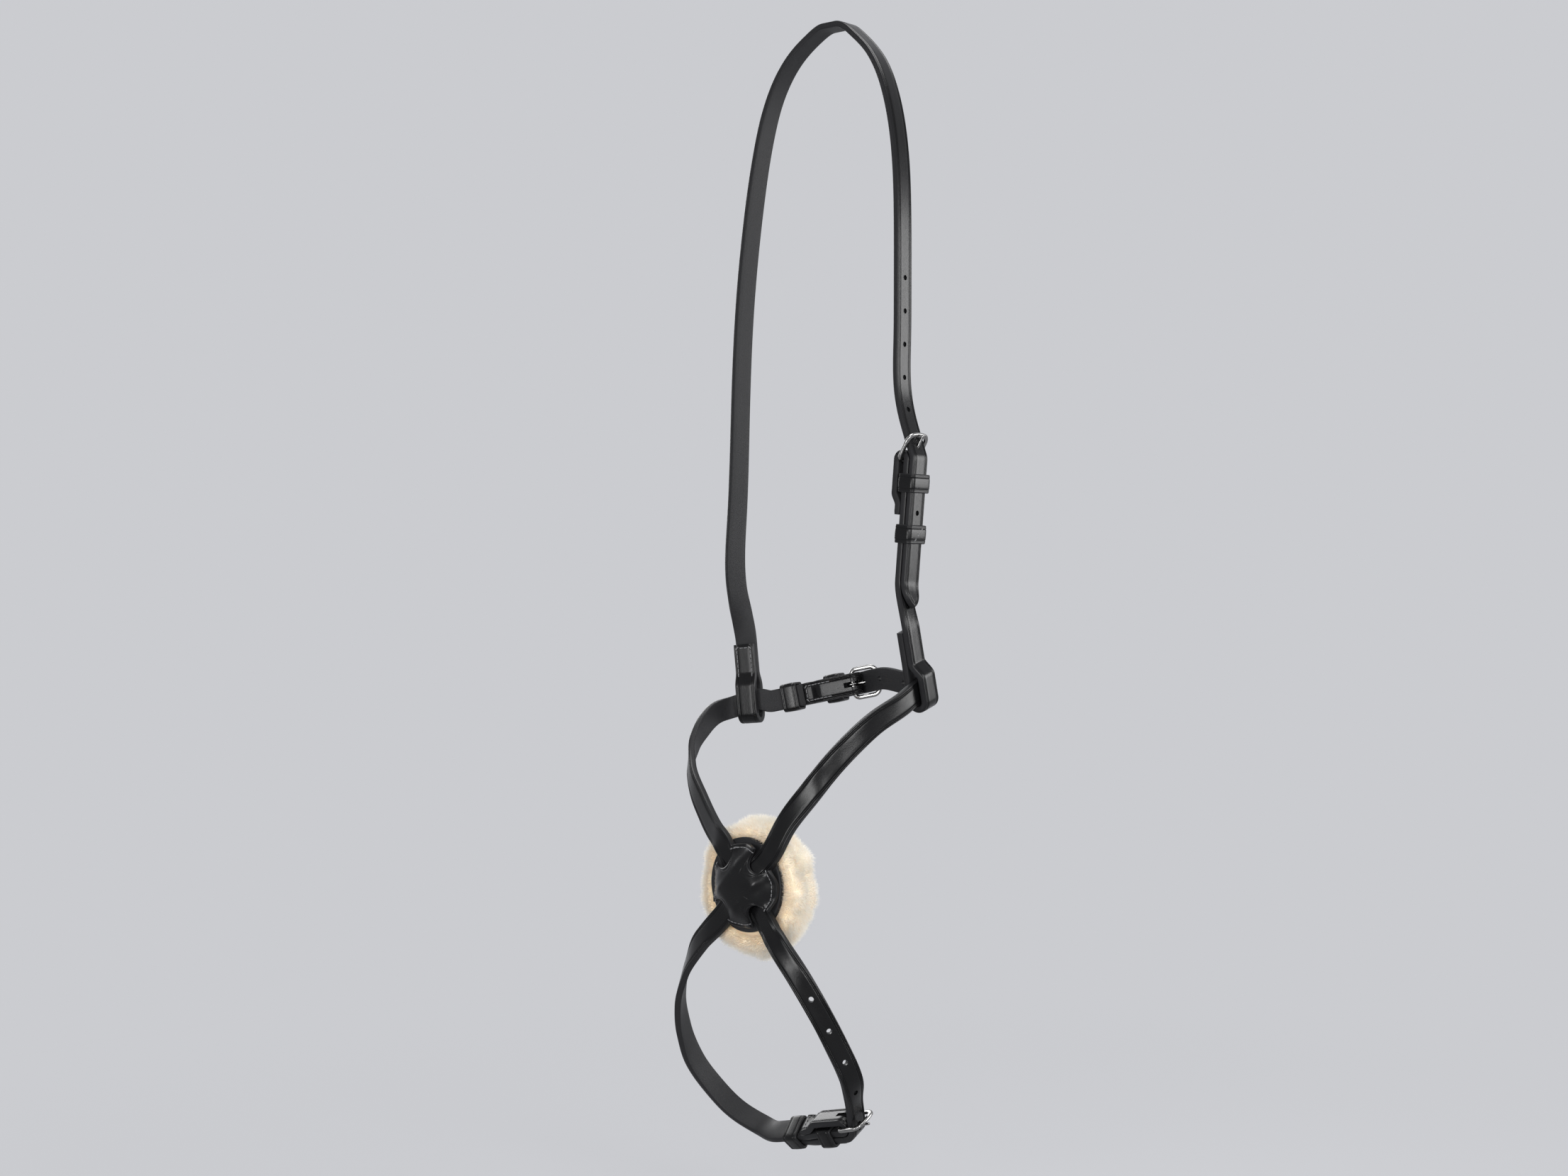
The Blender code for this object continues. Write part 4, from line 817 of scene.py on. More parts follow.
# %% A keeper's outline and cross-section
def rounded(half_x, half_z, corner, steps=9):
    """Points round a rounded rectangle, the same count on every corner and side."""
    found = []
    corners = [(1, 1, 0), (-1, 1, 90), (-1, -1, 180), (1, -1, 270)]
    for x, z, start in corners:
        for turn in np.radians(start + np.linspace(0, 90, steps)):
            found.append((x * (half_x - corner) + corner * math.cos(turn),
                          z * (half_z - corner) + corner * math.sin(turn)))
    path = []
    for i, point in enumerate(found):
        path.append(point)
        if i % steps == steps - 1:
            after = found[(i + 1) % len(found)]
            path += [tuple(np.array(point) * (1 - s) + np.array(after) * s) for s in np.linspace(0, 1, 8)[1:-1]]
    return np.array(path)


BAND = ((0.2, 1.09), (1.6, 1.08), (2.6, 1.04), (3.0, 0.99), (3.2, 0.87), (3.4, 0.99), (3.7, 1.01), (3.95, 0.98),
        (4.15, 0.87), (4.35, 0.96), (4.7, 0.94), (5.0, 0.84), (5.2, 0.62), (5.25, 0.35), (5.15, 0.1), (4.9, 0.0),
        (2.5, 0.0))


def keeper(name, node, seat, along):
    low = seat.fold - NOSE_THICK / 2 - GAP
    high = seat.over + seat.billet_thick / 2 + GAP
    half_x, half_z = STRAP_WIDTH / 2 + GAP, (high - low) / 2
    inner = rounded(half_x, half_z, 0.6 * MM)
    outer = rounded(half_x + KEEPER_THICK, half_z + KEEPER_THICK, 2.3 * MM)
    side = [(width * MM, share) for width, share in BAND]
    ring = side + [(-width, share) for width, share in side[::-1]]
    widths, shares = np.array(ring).T
    path = inner[:, None, :] * (1 - shares[None, :, None]) + outer[:, None, :] * shares[None, :, None]
    wide = np.broadcast_to(widths, path.shape[:2])
    mesh = skin(name, np.stack([path[:, :, 0], wide, path[:, :, 1]], axis=2), closed=True)
    walked = np.concatenate([[0.0], np.cumsum(np.linalg.norm(np.diff(outer, axis=0), axis=1))])
    flat = np.stack([np.broadcast_to(walked[:, None], wide.shape), wide,
                     np.broadcast_to((shares - 0.5) * KEEPER_THICK * 1.5, wide.shape)], axis=2).reshape(-1, 3)
    note(mesh, "flat", flat)
    note(mesh, "edge", KEEPER_WIDTH / 2 - np.abs(flat[:, 1]))
    tidy_shell(mesh)
    mesh.transform(seat.matrix(along=-along, out=(high + low) / 2))
    return stand_for(name, mesh, node, leather)


for which, seat in seats.items():
    keeper(which + "_sewn_keeper", which + "_fixed_keeper", seat, FIXED_KEEPER_AT)
    keeper(which + "_loose_keeper", which + "_sliding_keeper", seat, SLIDING_KEEPER_AT)
print("keepers made")

# %% [markdown]
# ## Nickel buckles
#
# The buckles are cast and polished: a round heel bar for the leather to turn on, and a flatter front
# with a slight bow. The metal is bright, with faint haze and fine scratches from use. Roughness and
# bump carry those, because polished metal shows its surface only in its reflections.

# %% The polished nickel's finish
def polished_nickel():
    finish = Finish("polished_nickel", Metallic=1.0)
    place = finish.add("ShaderNodeTexCoord").outputs["Object"]
    steps = finish.scaled(place, (1000.0, 1000.0, 1000.0))
    haze = finish.cloud(steps, 0.35, 3.0)
    scratch = finish.cloud(finish.scaled(place, (9000.0, 700.0, 5000.0)), 1.0, 2.0)
    finish.feed("Base Color", finish.mixed(haze, (0.17, 0.168, 0.166, 1.0), (0.26, 0.258, 0.254, 1.0)))
    finish.feed("Roughness", (0.14 + haze * 0.12 + scratch * 0.05).clamped())
    finish.bump(scratch * 0.004 + haze * 0.02, 0.001)
    return finish.material


nickel = polished_nickel()


# %% A buckle's frame
# How much wider and flatter than its wire the frame is where the strap bears on it
BAR_WIDENED, BAR_FLATTENED = 0.00006, 0.00030


def swept(points, sides, ups, half_side, half_up, power, closed, steps=20):
    """Rings of a rounded section along a path."""
    turns = np.linspace(0, 2 * math.pi, steps, endpoint=False)
    c, s = np.cos(turns), np.sin(turns)
    x = np.sign(c) * np.abs(c) ** (2 / power[:, None]) * half_side[:, None]
    y = np.sign(s) * np.abs(s) ** (2 / power[:, None]) * half_up[:, None]
    return points[:, None, :] + sides[:, None, :] * x[:, :, None] + ups[:, None, :] * y[:, :, None]


def buckle_frame(name, node, seat):
    half = STRAP_WIDTH / 2 + 2 * GAP + WIRE / 2
    path = rounded(half, FRAME_LENGTH / 2, FRAME_CORNER, 12) + np.array([0.0, FRAME_LENGTH / 2])
    bow = FRAME_BOW * (1 - (path[:, 0] / half) ** 2)
    path[:, 1] += bow * ease((path[:, 1] - FRAME_LENGTH + FRAME_CORNER) / FRAME_CORNER)
    points = np.column_stack([path, np.zeros(len(path))])
    ways = unit(np.roll(points, -1, axis=0) - np.roll(points, 1, axis=0))
    ups = np.tile([0.0, 0.0, 1.0], (len(points), 1))
    front = ease(path[:, 1] / FRAME_CORNER)
    rings = swept(points, np.cross(ways, ups), ups, WIRE / 2 + BAR_WIDENED * front, WIRE / 2 - BAR_FLATTENED * front,
                  2 + 0.9 * front, True)
    mesh = tidy_shell(skin(name, rings, closed=True), 60)
    mesh.transform(seat.matrix(tilt=seat.tilt))
    return stand_for(name, mesh, node, nickel)


# %% A buckle's tongue
def buckle_tongue(name, node, seat):
    turns = np.radians(np.linspace(0, -270, 40))
    ring = np.column_stack([np.zeros(40), seat.ring * np.cos(turns), seat.ring * np.sin(turns)])
    reach = FRAME_LENGTH + FRAME_BOW + TONGUE_OVERHANG
    ahead = np.linspace(0, reach, 36)[1:]
    shaft = np.column_stack([np.zeros(35), ahead, np.full(35, seat.ring)])
    points = np.vstack([ring, shaft])
    ways = unit(np.gradient(points, axis=0))
    side = np.tile([1.0, 0.0, 0.0], (len(points), 1))
    slim = TONGUE_WIRE / 2 * (1 - 0.22 * ease(points[:, 1] / reach))
    end = np.clip((reach - points[:, 1]) / (0.9 * MM), 0, 1) * (np.arange(len(points)) >= 40) \
        + (np.arange(len(points)) < 40)
    slim = slim * np.sqrt(np.clip(1 - (1 - end) ** 2, 0.02, 1))
    rings = swept(points, side, np.cross(side, ways), slim, slim * 0.96, np.full(len(points), 2.3), False, 16)
    mesh = tidy_shell(skin(name, rings), 60)
    mesh.transform(seat.matrix(tilt=seat.tilt))
    return stand_for(name, mesh, node, nickel)


for which, seat in seats.items():
    buckle_frame(which + "_nickel_frame", which + "_buckle_frame", seat)
    buckle_tongue(which + "_nickel_tongue", which + "_buckle_tongue", seat)
print("buckles made")

# %% [markdown]
# ## The patch: cover, backing and hide
#
# The cover is one disc of leather, notched where the straps come out, moulded over them and sewn down
# along its four lobes. It could be a cloth simulation, but the leather is stiff and moulded on
# purpose, so a formula for its height holds the shape better. Rings from the middle to the rim follow
# the notched outline, and the last few rings round the rim over.

# %% The cover's outline
def cover_turns():
    """Angles round the cover, close together in each notch, with the angle of the notch they are in."""
    half = math.asin(patch.notch / NOTCH_REACH)
    centres = sorted(math.atan2(s * way.y, s * way.x) % (2 * math.pi) for way in patch.ways for s in (1, -1))
    found = []
    for i, centre in enumerate(centres):
        after = centres[(i + 1) % 4] + (2 * math.pi if i == 3 else 0.0)
        found += [(centre + half * t, centre) for t in np.linspace(-1, 1, 29)]
        lobe = after - centre - 2 * half
        found += [(centre + half + lobe * t, None) for t in np.linspace(0.008, 0.992, 33)]
    return found


def cover_outline(turns):
    radii = []
    for turn, notch in turns:
        if notch is None:
            radii.append(COVER_RADIUS)
        else:
            aside = NOTCH_REACH * math.sin(turn - notch)
            radii.append(NOTCH_REACH * math.cos(turn - notch) - math.sqrt(max(patch.notch ** 2 - aside ** 2, 0.0)))
    return np.array(radii)


# %% The moulded cover
RIM = ((0.0, 1.15), (0.06, 0.62), (0.2, 0.3), (0.45, 0.09), (0.8, 0.0), (1.3, 0.0), (1.7, 0.05), (2.1, 0.2),
       (2.5, 0.05), (2.9, 0.0))


def cover():
    turns = cover_turns()
    angles, radii = np.array([turn for turn, notch in turns]), cover_outline(turns)
    inner = np.linspace(0.0, 1.0, 30)[1:]
    rings, drops = [], []
    for share in inner:
        rings.append(share * (radii - RIM[-1][0] * MM))
        drops.append(0.0)
    for inset, drop in RIM[::-1][1:]:
        rings.append(radii - inset * MM)
        drops.append(drop * MM)
    radius = np.array(rings)
    x, z = radius * np.cos(angles), radius * np.sin(angles)
    base = patch.floor + patch.moulded(x, z)
    top = np.stack([x, z, base + COVER_THICK - np.array(drops)[:, None]], axis=2)
    under = np.stack([x, z, base], axis=2)[::-3]
    rings = np.concatenate([top, under])
    mesh = skin("patch_leather", patch_rows(rings))
    flat = rings.reshape(-1, 3)
    note(mesh, "flat", np.column_stack([flat[:, 0], flat[:, 1], np.repeat([0.002, -0.002],
                                                                      [top.shape[0] * top.shape[1],
                                                                       under.shape[0] * under.shape[1]])]))
    edge = np.broadcast_to(radii, rings.shape[:2]).ravel() - np.hypot(flat[:, 0], flat[:, 1])
    note(mesh, "edge", np.maximum(edge, 0.0))
    return tidy_shell(mesh, 75)


def patch_rows(rings):
    return patch.points(rings.reshape(-1, 3)).reshape(rings.shape)


stand_for("patch_leather", cover(), "patch_cover", leather)

# %% Backing and hide, turned discs
def disc(name, front, rows):
    """A turned disc from (radius, depth) rows, both in metres."""
    turns = np.linspace(0, 2 * math.pi, 144, endpoint=False)
    radius, depth = np.array(rows).T
    x = radius[:, None] * np.cos(turns) - BACKING_SET_OVER
    rings = np.stack([x, radius[:, None] * np.sin(turns), np.broadcast_to((front - depth)[:, None], x.shape)], axis=2)
    mesh = skin(name, patch_rows(rings))
    note(mesh, "flat", np.column_stack([rings[:, :, 0].ravel(), rings[:, :, 1].ravel(), -np.repeat(depth, 144)]))
    note(mesh, "edge", BACKING_RADIUS - np.repeat(radius, 144))
    return tidy_shell(mesh, 75)


def disc_rows(radius, thick, grooves=()):
    rows = [(0.001, 0.0), (radius * 0.5, 0.0), (radius - 0.9 * MM, 0.0), (radius - 0.3 * MM, 0.06 * MM),
            (radius - 0.05 * MM, 0.3 * MM)]
    for depth in grooves:
        rows += [(radius, depth - 0.25 * MM), (radius - 0.06 * MM, depth - 0.1 * MM), (radius - 0.35 * MM, depth),
                 (radius - 0.06 * MM, depth + 0.1 * MM), (radius, depth + 0.25 * MM)]
    rows += [(radius - 0.05 * MM, thick - 0.3 * MM), (radius - 0.3 * MM, thick - 0.06 * MM),
             (radius - 0.9 * MM, thick), (radius * 0.5, thick), (0.001, thick)]
    return rows


backing = disc("patch_backing_leather", patch.floor, disc_rows(BACKING_RADIUS, BACKING_THICK, (1.5 * MM,)))
stand_for("patch_backing_leather", backing, "patch_backing", leather)
hide_mesh = disc("hide_skin", patch.floor - BACKING_THICK - GAP, disc_rows(HIDE_RADIUS, HIDE_THICK))


# %% [markdown]
# ## Stitches
#
# Every seam is waxed black thread, stitch after stitch at an even pitch: one shape repeated along a
# line. That is work for Geometry Nodes. A polyline carries the seam's path and the way out of the
# leather, the tree walks it at the pitch and sets a short bowed stitch at each step.

# %% The thread's finish
def waxed_thread():
    finish = Finish("waxed_thread", Specular_IOR_Level=0.5)
    place = finish.add("ShaderNodeTexCoord").outputs["Object"]
    steps = finish.scaled(place, (1000.0, 1000.0, 1000.0))
    twist = finish.add("ShaderNodeTexWave", {"bands_direction": "DIAGONAL"},
                       {"Vector": steps, "Scale": 3.0, "Distortion": 0.6}).outputs["Fac"]
    wax = finish.cloud(steps, 2.0, 2.0)
    # The thread itself is black: its greys, lightest along the bands of the twist, are a painted glint.
    finish.feed("Base Color", finish.mixed(twist, (0.080, 0.080, 0.085, 1.0), (0.270, 0.270, 0.280, 1.0)))
    finish.feed("Roughness", (0.34 + wax * 0.22).clamped())
    finish.bump(Number(finish, twist) * 0.08, 0.001)
    return finish.material


thread = waxed_thread()


# %% The stitching tree
def stitching_tree():
    tree = bpy.data.node_groups.new("stitching", "GeometryNodeTree")
    face = tree.interface
    face.new_socket("Seam", in_out="INPUT", socket_type="NodeSocketGeometry")
    for name, value in (("Pitch", 2.6 * MM), ("Stitch Length", 2.0 * MM), ("Thread", 0.55 * MM),
                        ("Bow", 0.35 * MM), ("Sink", 0.25 * MM)):
        made = face.new_socket(name, in_out="INPUT", socket_type="NodeSocketFloat")
        made.default_value = value
    face.new_socket("Seed", in_out="INPUT", socket_type="NodeSocketInt").default_value = 7
    face.new_socket("Material", in_out="INPUT", socket_type="NodeSocketMaterial")
    face.new_socket("Stitches", in_out="OUTPUT", socket_type="NodeSocketGeometry")
    nodes = Nodes(tree)
    given = nodes.add("NodeGroupInput").outputs
    half = Number(nodes, given["Stitch Length"]) * 0.5
    sink = Number(nodes, given["Sink"]) * -1.0

    def vector(x, z):
        return nodes.add("ShaderNodeCombineXYZ", {}, {"X": x, "Z": z}).outputs[0]

    arc = nodes.add("GeometryNodeCurveQuadraticBezier", {}, {
        "Resolution": 5, "Start": vector(half * -1.0, sink), "Middle": vector(0.0, given["Bow"]),
        "End": vector(half, sink)})
    round_wire = nodes.add("GeometryNodeCurvePrimitiveCircle", {}, {
        "Resolution": 6, "Radius": Number(nodes, given["Thread"]) * 0.5})
    stitch = nodes.add("GeometryNodeCurveToMesh", {}, {
        "Curve": arc.outputs["Curve"], "Profile Curve": round_wire.outputs["Curve"], "Fill Caps": True})
    line = nodes.add("GeometryNodeMeshToCurve", {}, {"Mesh": given["Seam"]})
    walk = nodes.add("GeometryNodeResampleCurve", {"mode": "LENGTH"}, {
        "Curve": line.outputs[0], "Length": given["Pitch"]})
    out = nodes.add("GeometryNodeInputNamedAttribute", {"data_type": "FLOAT_VECTOR"}, {"Name": "out"})
    tangent = nodes.add("GeometryNodeInputTangent").outputs[0]
    first = nodes.add("FunctionNodeAlignRotationToVector", {"axis": "X"}, {"Vector": tangent})
    second = nodes.add("FunctionNodeAlignRotationToVector", {"axis": "Z", "pivot_axis": "X"}, {
        "Rotation": first.outputs[0], "Vector": out.outputs[0]})
    uneven = nodes.add("FunctionNodeRandomValue", {"data_type": "FLOAT"}, {
        "Min_001": 0.92, "Max_001": 1.08, "Seed": given["Seed"]})
    placed = nodes.add("GeometryNodeInstanceOnPoints", {}, {
        "Points": walk.outputs[0], "Instance": stitch.outputs[0], "Rotation": second.outputs[0],
        "Scale": uneven.outputs[1]})
    real = nodes.add("GeometryNodeRealizeInstances", {}, {"Geometry": placed.outputs[0]})
    dressed = nodes.add("GeometryNodeSetMaterial", {}, {"Geometry": real.outputs[0], "Material": given["Material"]})
    nodes.add("NodeGroupOutput", {}, {"Stitches": dressed.outputs[0]})
    return tree


stitching = stitching_tree()


# %% Running a tree on a mesh and keeping the result
def grown(name, mesh, tree, inputs):
    """The plain mesh that a Geometry Nodes tree makes from a mesh."""
    holder = bpy.data.objects.new(name, mesh)
    bpy.context.scene.collection.objects.link(holder)
    modifier = holder.modifiers.new("grow", "NODES")
    modifier.node_group = tree
    keys = {item.name: item.identifier for item in tree.interface.items_tree if item.in_out == "INPUT"}
    for key, value in inputs.items():
        modifier[keys[key]] = value
    done = bpy.data.meshes.new_from_object(holder.evaluated_get(bpy.context.evaluated_depsgraph_get()))
    bpy.data.objects.remove(holder, do_unlink=True)
    done.shade_smooth()
    return done


def seam_line(places, outs):
    """A polyline with the way out of the leather at each point."""
    mesh = bpy.data.meshes.new("seam")
    mesh.from_pydata([tuple(place) for place in places], [(i, i + 1) for i in range(len(places) - 1)], [])
    note(mesh, "out", np.asarray(outs, float))
    return mesh


# %% Seams on the straps
def strap_seam(name, node, route, start, end, thick):
    """A U of stitches: along one edge of a strap's outer face, across it and back along the other."""
    side = STRAP_WIDTH / 2 - SEAM_INSET
    marks = [(length, side) for length in np.linspace(end, start, 12)]
    marks += [(start, across) for across in np.linspace(side, -side, 5)[1:-1]]
    marks += [(length, -side) for length in np.linspace(start, end, 12)]
    place, along, across, out = route.at(np.array([mark[0] for mark in marks]))
    places = place + across * np.array([mark[1] for mark in marks])[:, None] + out * (thick / 2 + 0.1 * MM)
    mesh = grown(name, seam_line(places, out), stitching, {"Material": thread})
    return stand_for(name, mesh, node, thread)


end = TURN_BACK - FIXED_KEEPER_AT
strap_seam("jaw_chape_threads", "jaw_chape_stitching", off_side, SEAM_INSET, end, NOSE_THICK)
strap_seam("chin_chape_threads", "chin_chape_stitching", near_side, SEAM_INSET, end, NOSE_THICK)
strap_seam("cheek_chape_threads", "cheek_chape_stitching", cheek, SEAM_INSET, end, NOSE_THICK)
strap_seam("off_side_loop_threads", "off_side_loop_stitching", head, SEAM_INSET, LOOP_TURN - LOOP_EASE, HEAD_THICK)
strap_seam("near_side_loop_threads", "near_side_loop_stitching", cheek, cheek.length - SEAM_INSET,
           cheek.length - LOOP_TURN + LOOP_EASE, NOSE_THICK)

# %% Three stitches across each sliding keeper's join
for which, seat in seats.items():
    low, high = seat.fold - NOSE_THICK / 2 - GAP, seat.over + seat.billet_thick / 2 + GAP
    top = (high - low) / 2 + KEEPER_THICK * 1.08
    turn = seat.matrix(along=-SLIDING_KEEPER_AT, out=(high + low) / 2)
    places = [turn @ Vector((share * 2.6 * MM, share * 2.9 * MM, top)) for share in np.linspace(-1, 1, 9)]
    mesh = grown(which + "_keeper_threads", seam_line(places, [turn.to_3x3() @ Vector((0.0, 0.0, 1.0))] * 9),
                 stitching, {"Material": thread, "Thread": 0.6 * MM})
    mesh.materials.clear()
    mesh.materials.append(thread)
    piece = bpy.data.objects.new(which + "_keeper_threads", mesh)
    bpy.context.scene.collection.objects.link(piece)
    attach(piece, carrier[which + "_sliding_keeper"])

# %% Seams along the cover's lobes
inset = COVER_RADIUS - SEAM_INSET
turns = cover_turns()
for index, name in enumerate(("upper", "off_side", "lower", "near_side")):
    lobe = np.array([turn for turn, notch in turns[62 * index + 29:62 * index + 62]])
    x, z = inset * np.cos(lobe), inset * np.sin(lobe)
    lifted = patch.floor + patch.moulded(x, z) + COVER_THICK - 0.05 * MM
    places = patch.points(np.column_stack([x, z, lifted]))
    mesh = grown("patch_threads_" + name, seam_line(places, np.tile(patch.facing, (len(x), 1))), stitching,
                 {"Material": thread, "Pitch": 2.1 * MM, "Stitch Length": 1.6 * MM, "Thread": 0.5 * MM})
    stand_for("patch_threads_" + name, mesh, "patch_stitching_" + name, thread)
print("seams made")

# %% [markdown]
# ## Sheepskin
#
# Behind the patch sits a round of shorn sheepskin: the hide with its dense wool standing out all
# round it. A padded core gives the wool its body, with soft lumps, and swells forward over the hide's
# edge. Fine fibres grow from the core by Geometry Nodes, thin, tapered and combed into clumps, because
# a surface alone looks like plaster at its rim. Particle hair would look as good, but it can't be
# exported.

# %% The hide's and the wool's finishes
def suede_hide():
    finish = Finish("suede_hide", Roughness=0.9)
    place = finish.add("ShaderNodeTexCoord").outputs["Object"]
    steps = finish.scaled(place, (1000.0, 1000.0, 1000.0))
    nap, blotch = finish.cloud(steps, 3.0, 4.0, 0.7), finish.cloud(steps, 0.15, 2.0)
    tan = finish.mixed(blotch, (0.52, 0.36, 0.21, 1.0), (0.66, 0.49, 0.32, 1.0))
    finish.feed("Base Color", finish.mixed(nap, tan, (0.74, 0.60, 0.43, 1.0)))
    finish.bump(nap * 0.15, 0.001)
    return finish.material


def cream_wool():
    finish = Finish("cream_wool", Roughness=0.95, Sheen_Weight=0.25, Sheen_Roughness=0.5,
                    Subsurface_Weight=0.5, Subsurface_Scale=0.004)
    finish.shader.inputs["Subsurface Radius"].default_value = (1.0, 0.75, 0.5)
    place = finish.add("ShaderNodeTexCoord").outputs["Object"]
    steps = finish.scaled(place, (1000.0, 1000.0, 1000.0))
    tuft = finish.cloud(steps, 0.16, 4.0, 0.6)
    tip = Number(finish, finish.attribute("tip").outputs["Fac"])
    across, forward, up = finish.parts(place)
    aside, above = across - patch.middle.x + WOOL_SET_OVER, up - patch.middle.z + WOOL_SAG
    square = aside * aside + above * above
    reach = square.math("SQRT", square) * (1 / WOOL_RADIUS)
    # Warmer and darker towards the leather, at the roots of the fibres and on the core under them: partly the wool's
    # own warmer colour near the hide, partly painted shade in the hollow beside the leather and deep in the fleece.
    root_tone_and_shade = 1 - (reach * 0.8 + tip * 0.35 + tuft * 0.2).smooth(0.70, 1.12)
    warm = finish.mixed(tuft, (0.94, 0.72, 0.46, 1.0), (0.95, 0.80, 0.58, 1.0))
    cream = finish.mixed(tuft, (0.95, 0.89, 0.76, 1.0), (0.97, 0.94, 0.85, 1.0))
    finish.feed("Base Color", finish.mixed(root_tone_and_shade, cream, warm))
    fibre = finish.cloud(finish.scaled(place, (2500.0, 2500.0, 2500.0)), 1.0, 3.0, 0.7)
    finish.bump(fibre * 0.2 + tuft * 0.3, 0.001)
    return finish.material


suede, wool = suede_hide(), cream_wool()
stand_for("hide_skin", hide_mesh, "sheepskin_hide", suede)

# %% The padded core of the wool
WOOL_SHARES = ((0.02, 0.02), (0.64, 0.00), (0.65, -0.12), (0.68, -0.17), (0.74, -0.18), (0.80, -0.12), (0.85, 0.05),
               (0.885, 0.28), (0.895, 0.50), (0.86, 0.74), (0.76, 0.87), (0.56, 0.93), (0.40, 0.94), (0.02, 0.94))


def wool_reach(places):
    """How far out from the wool's middle each place is, as a share of its radius."""
    local = places - np.array(patch.middle[:])
    return np.hypot(local @ np.array(patch.side[:]) + WOOL_SET_OVER, local[:, 2] + WOOL_SAG) / WOOL_RADIUS


def wool_core():
    """A closed round pad with soft lumps, flat where the hide lies on it."""
    table = np.array(WOOL_SHARES)
    walked = np.concatenate([[0], np.cumsum(np.hypot(*np.diff(table, axis=0).T))])
    fine = np.linspace(0, walked[-1], 64)
    radius = np.interp(fine, walked, table[:, 0]) * WOOL_RADIUS
    depth = np.interp(fine, walked, table[:, 1]) * WOOL_DEPTH
    turns = np.linspace(0, 2 * math.pi, 160, endpoint=False)
    x, z = radius[:, None] * np.cos(turns), radius[:, None] * np.sin(turns)
    out = np.broadcast_to((patch.wool_front - depth)[:, None], x.shape)
    rings = np.stack([x - WOOL_SET_OVER, z - WOOL_SAG, out], axis=2)
    mesh = tidy_shell(skin("wool_core", patch_rows(rings)), 180)
    places = coordinates(mesh)
    normals = np.empty(len(mesh.vertices) * 3)
    mesh.vertices.foreach_get("normal", normals)
    normals = normals.reshape(-1, 3)
    lumps = np.array([noise.noise(Vector(place) * 75.0 + Vector((3.0, 1.0, 5.0))) * 3.2
                      + noise.noise(Vector(place) * 190.0) * 1.1 for place in places])
    lumps *= ease((wool_reach(places) - 0.66) / 0.16)
    set_coordinates(mesh, places + normals * (lumps * MM)[:, None])
    note(mesh, "tip", 0.15 + 0.35 * ease((wool_reach(places) - 0.66) / 0.2))
    return mesh


core = wool_core()
seed_bed = core.copy()
wool_piece = stand_for("wool_core", core, "sheepskin_wool", wool)
print("wool core", len(core.vertices), "points")


# %% The fleece tree
STRAY, FULL_TURN, DENSEST = 0.30, 6.283, 2000000.0
SHORTEST, LONGEST = 0.65, 1.15


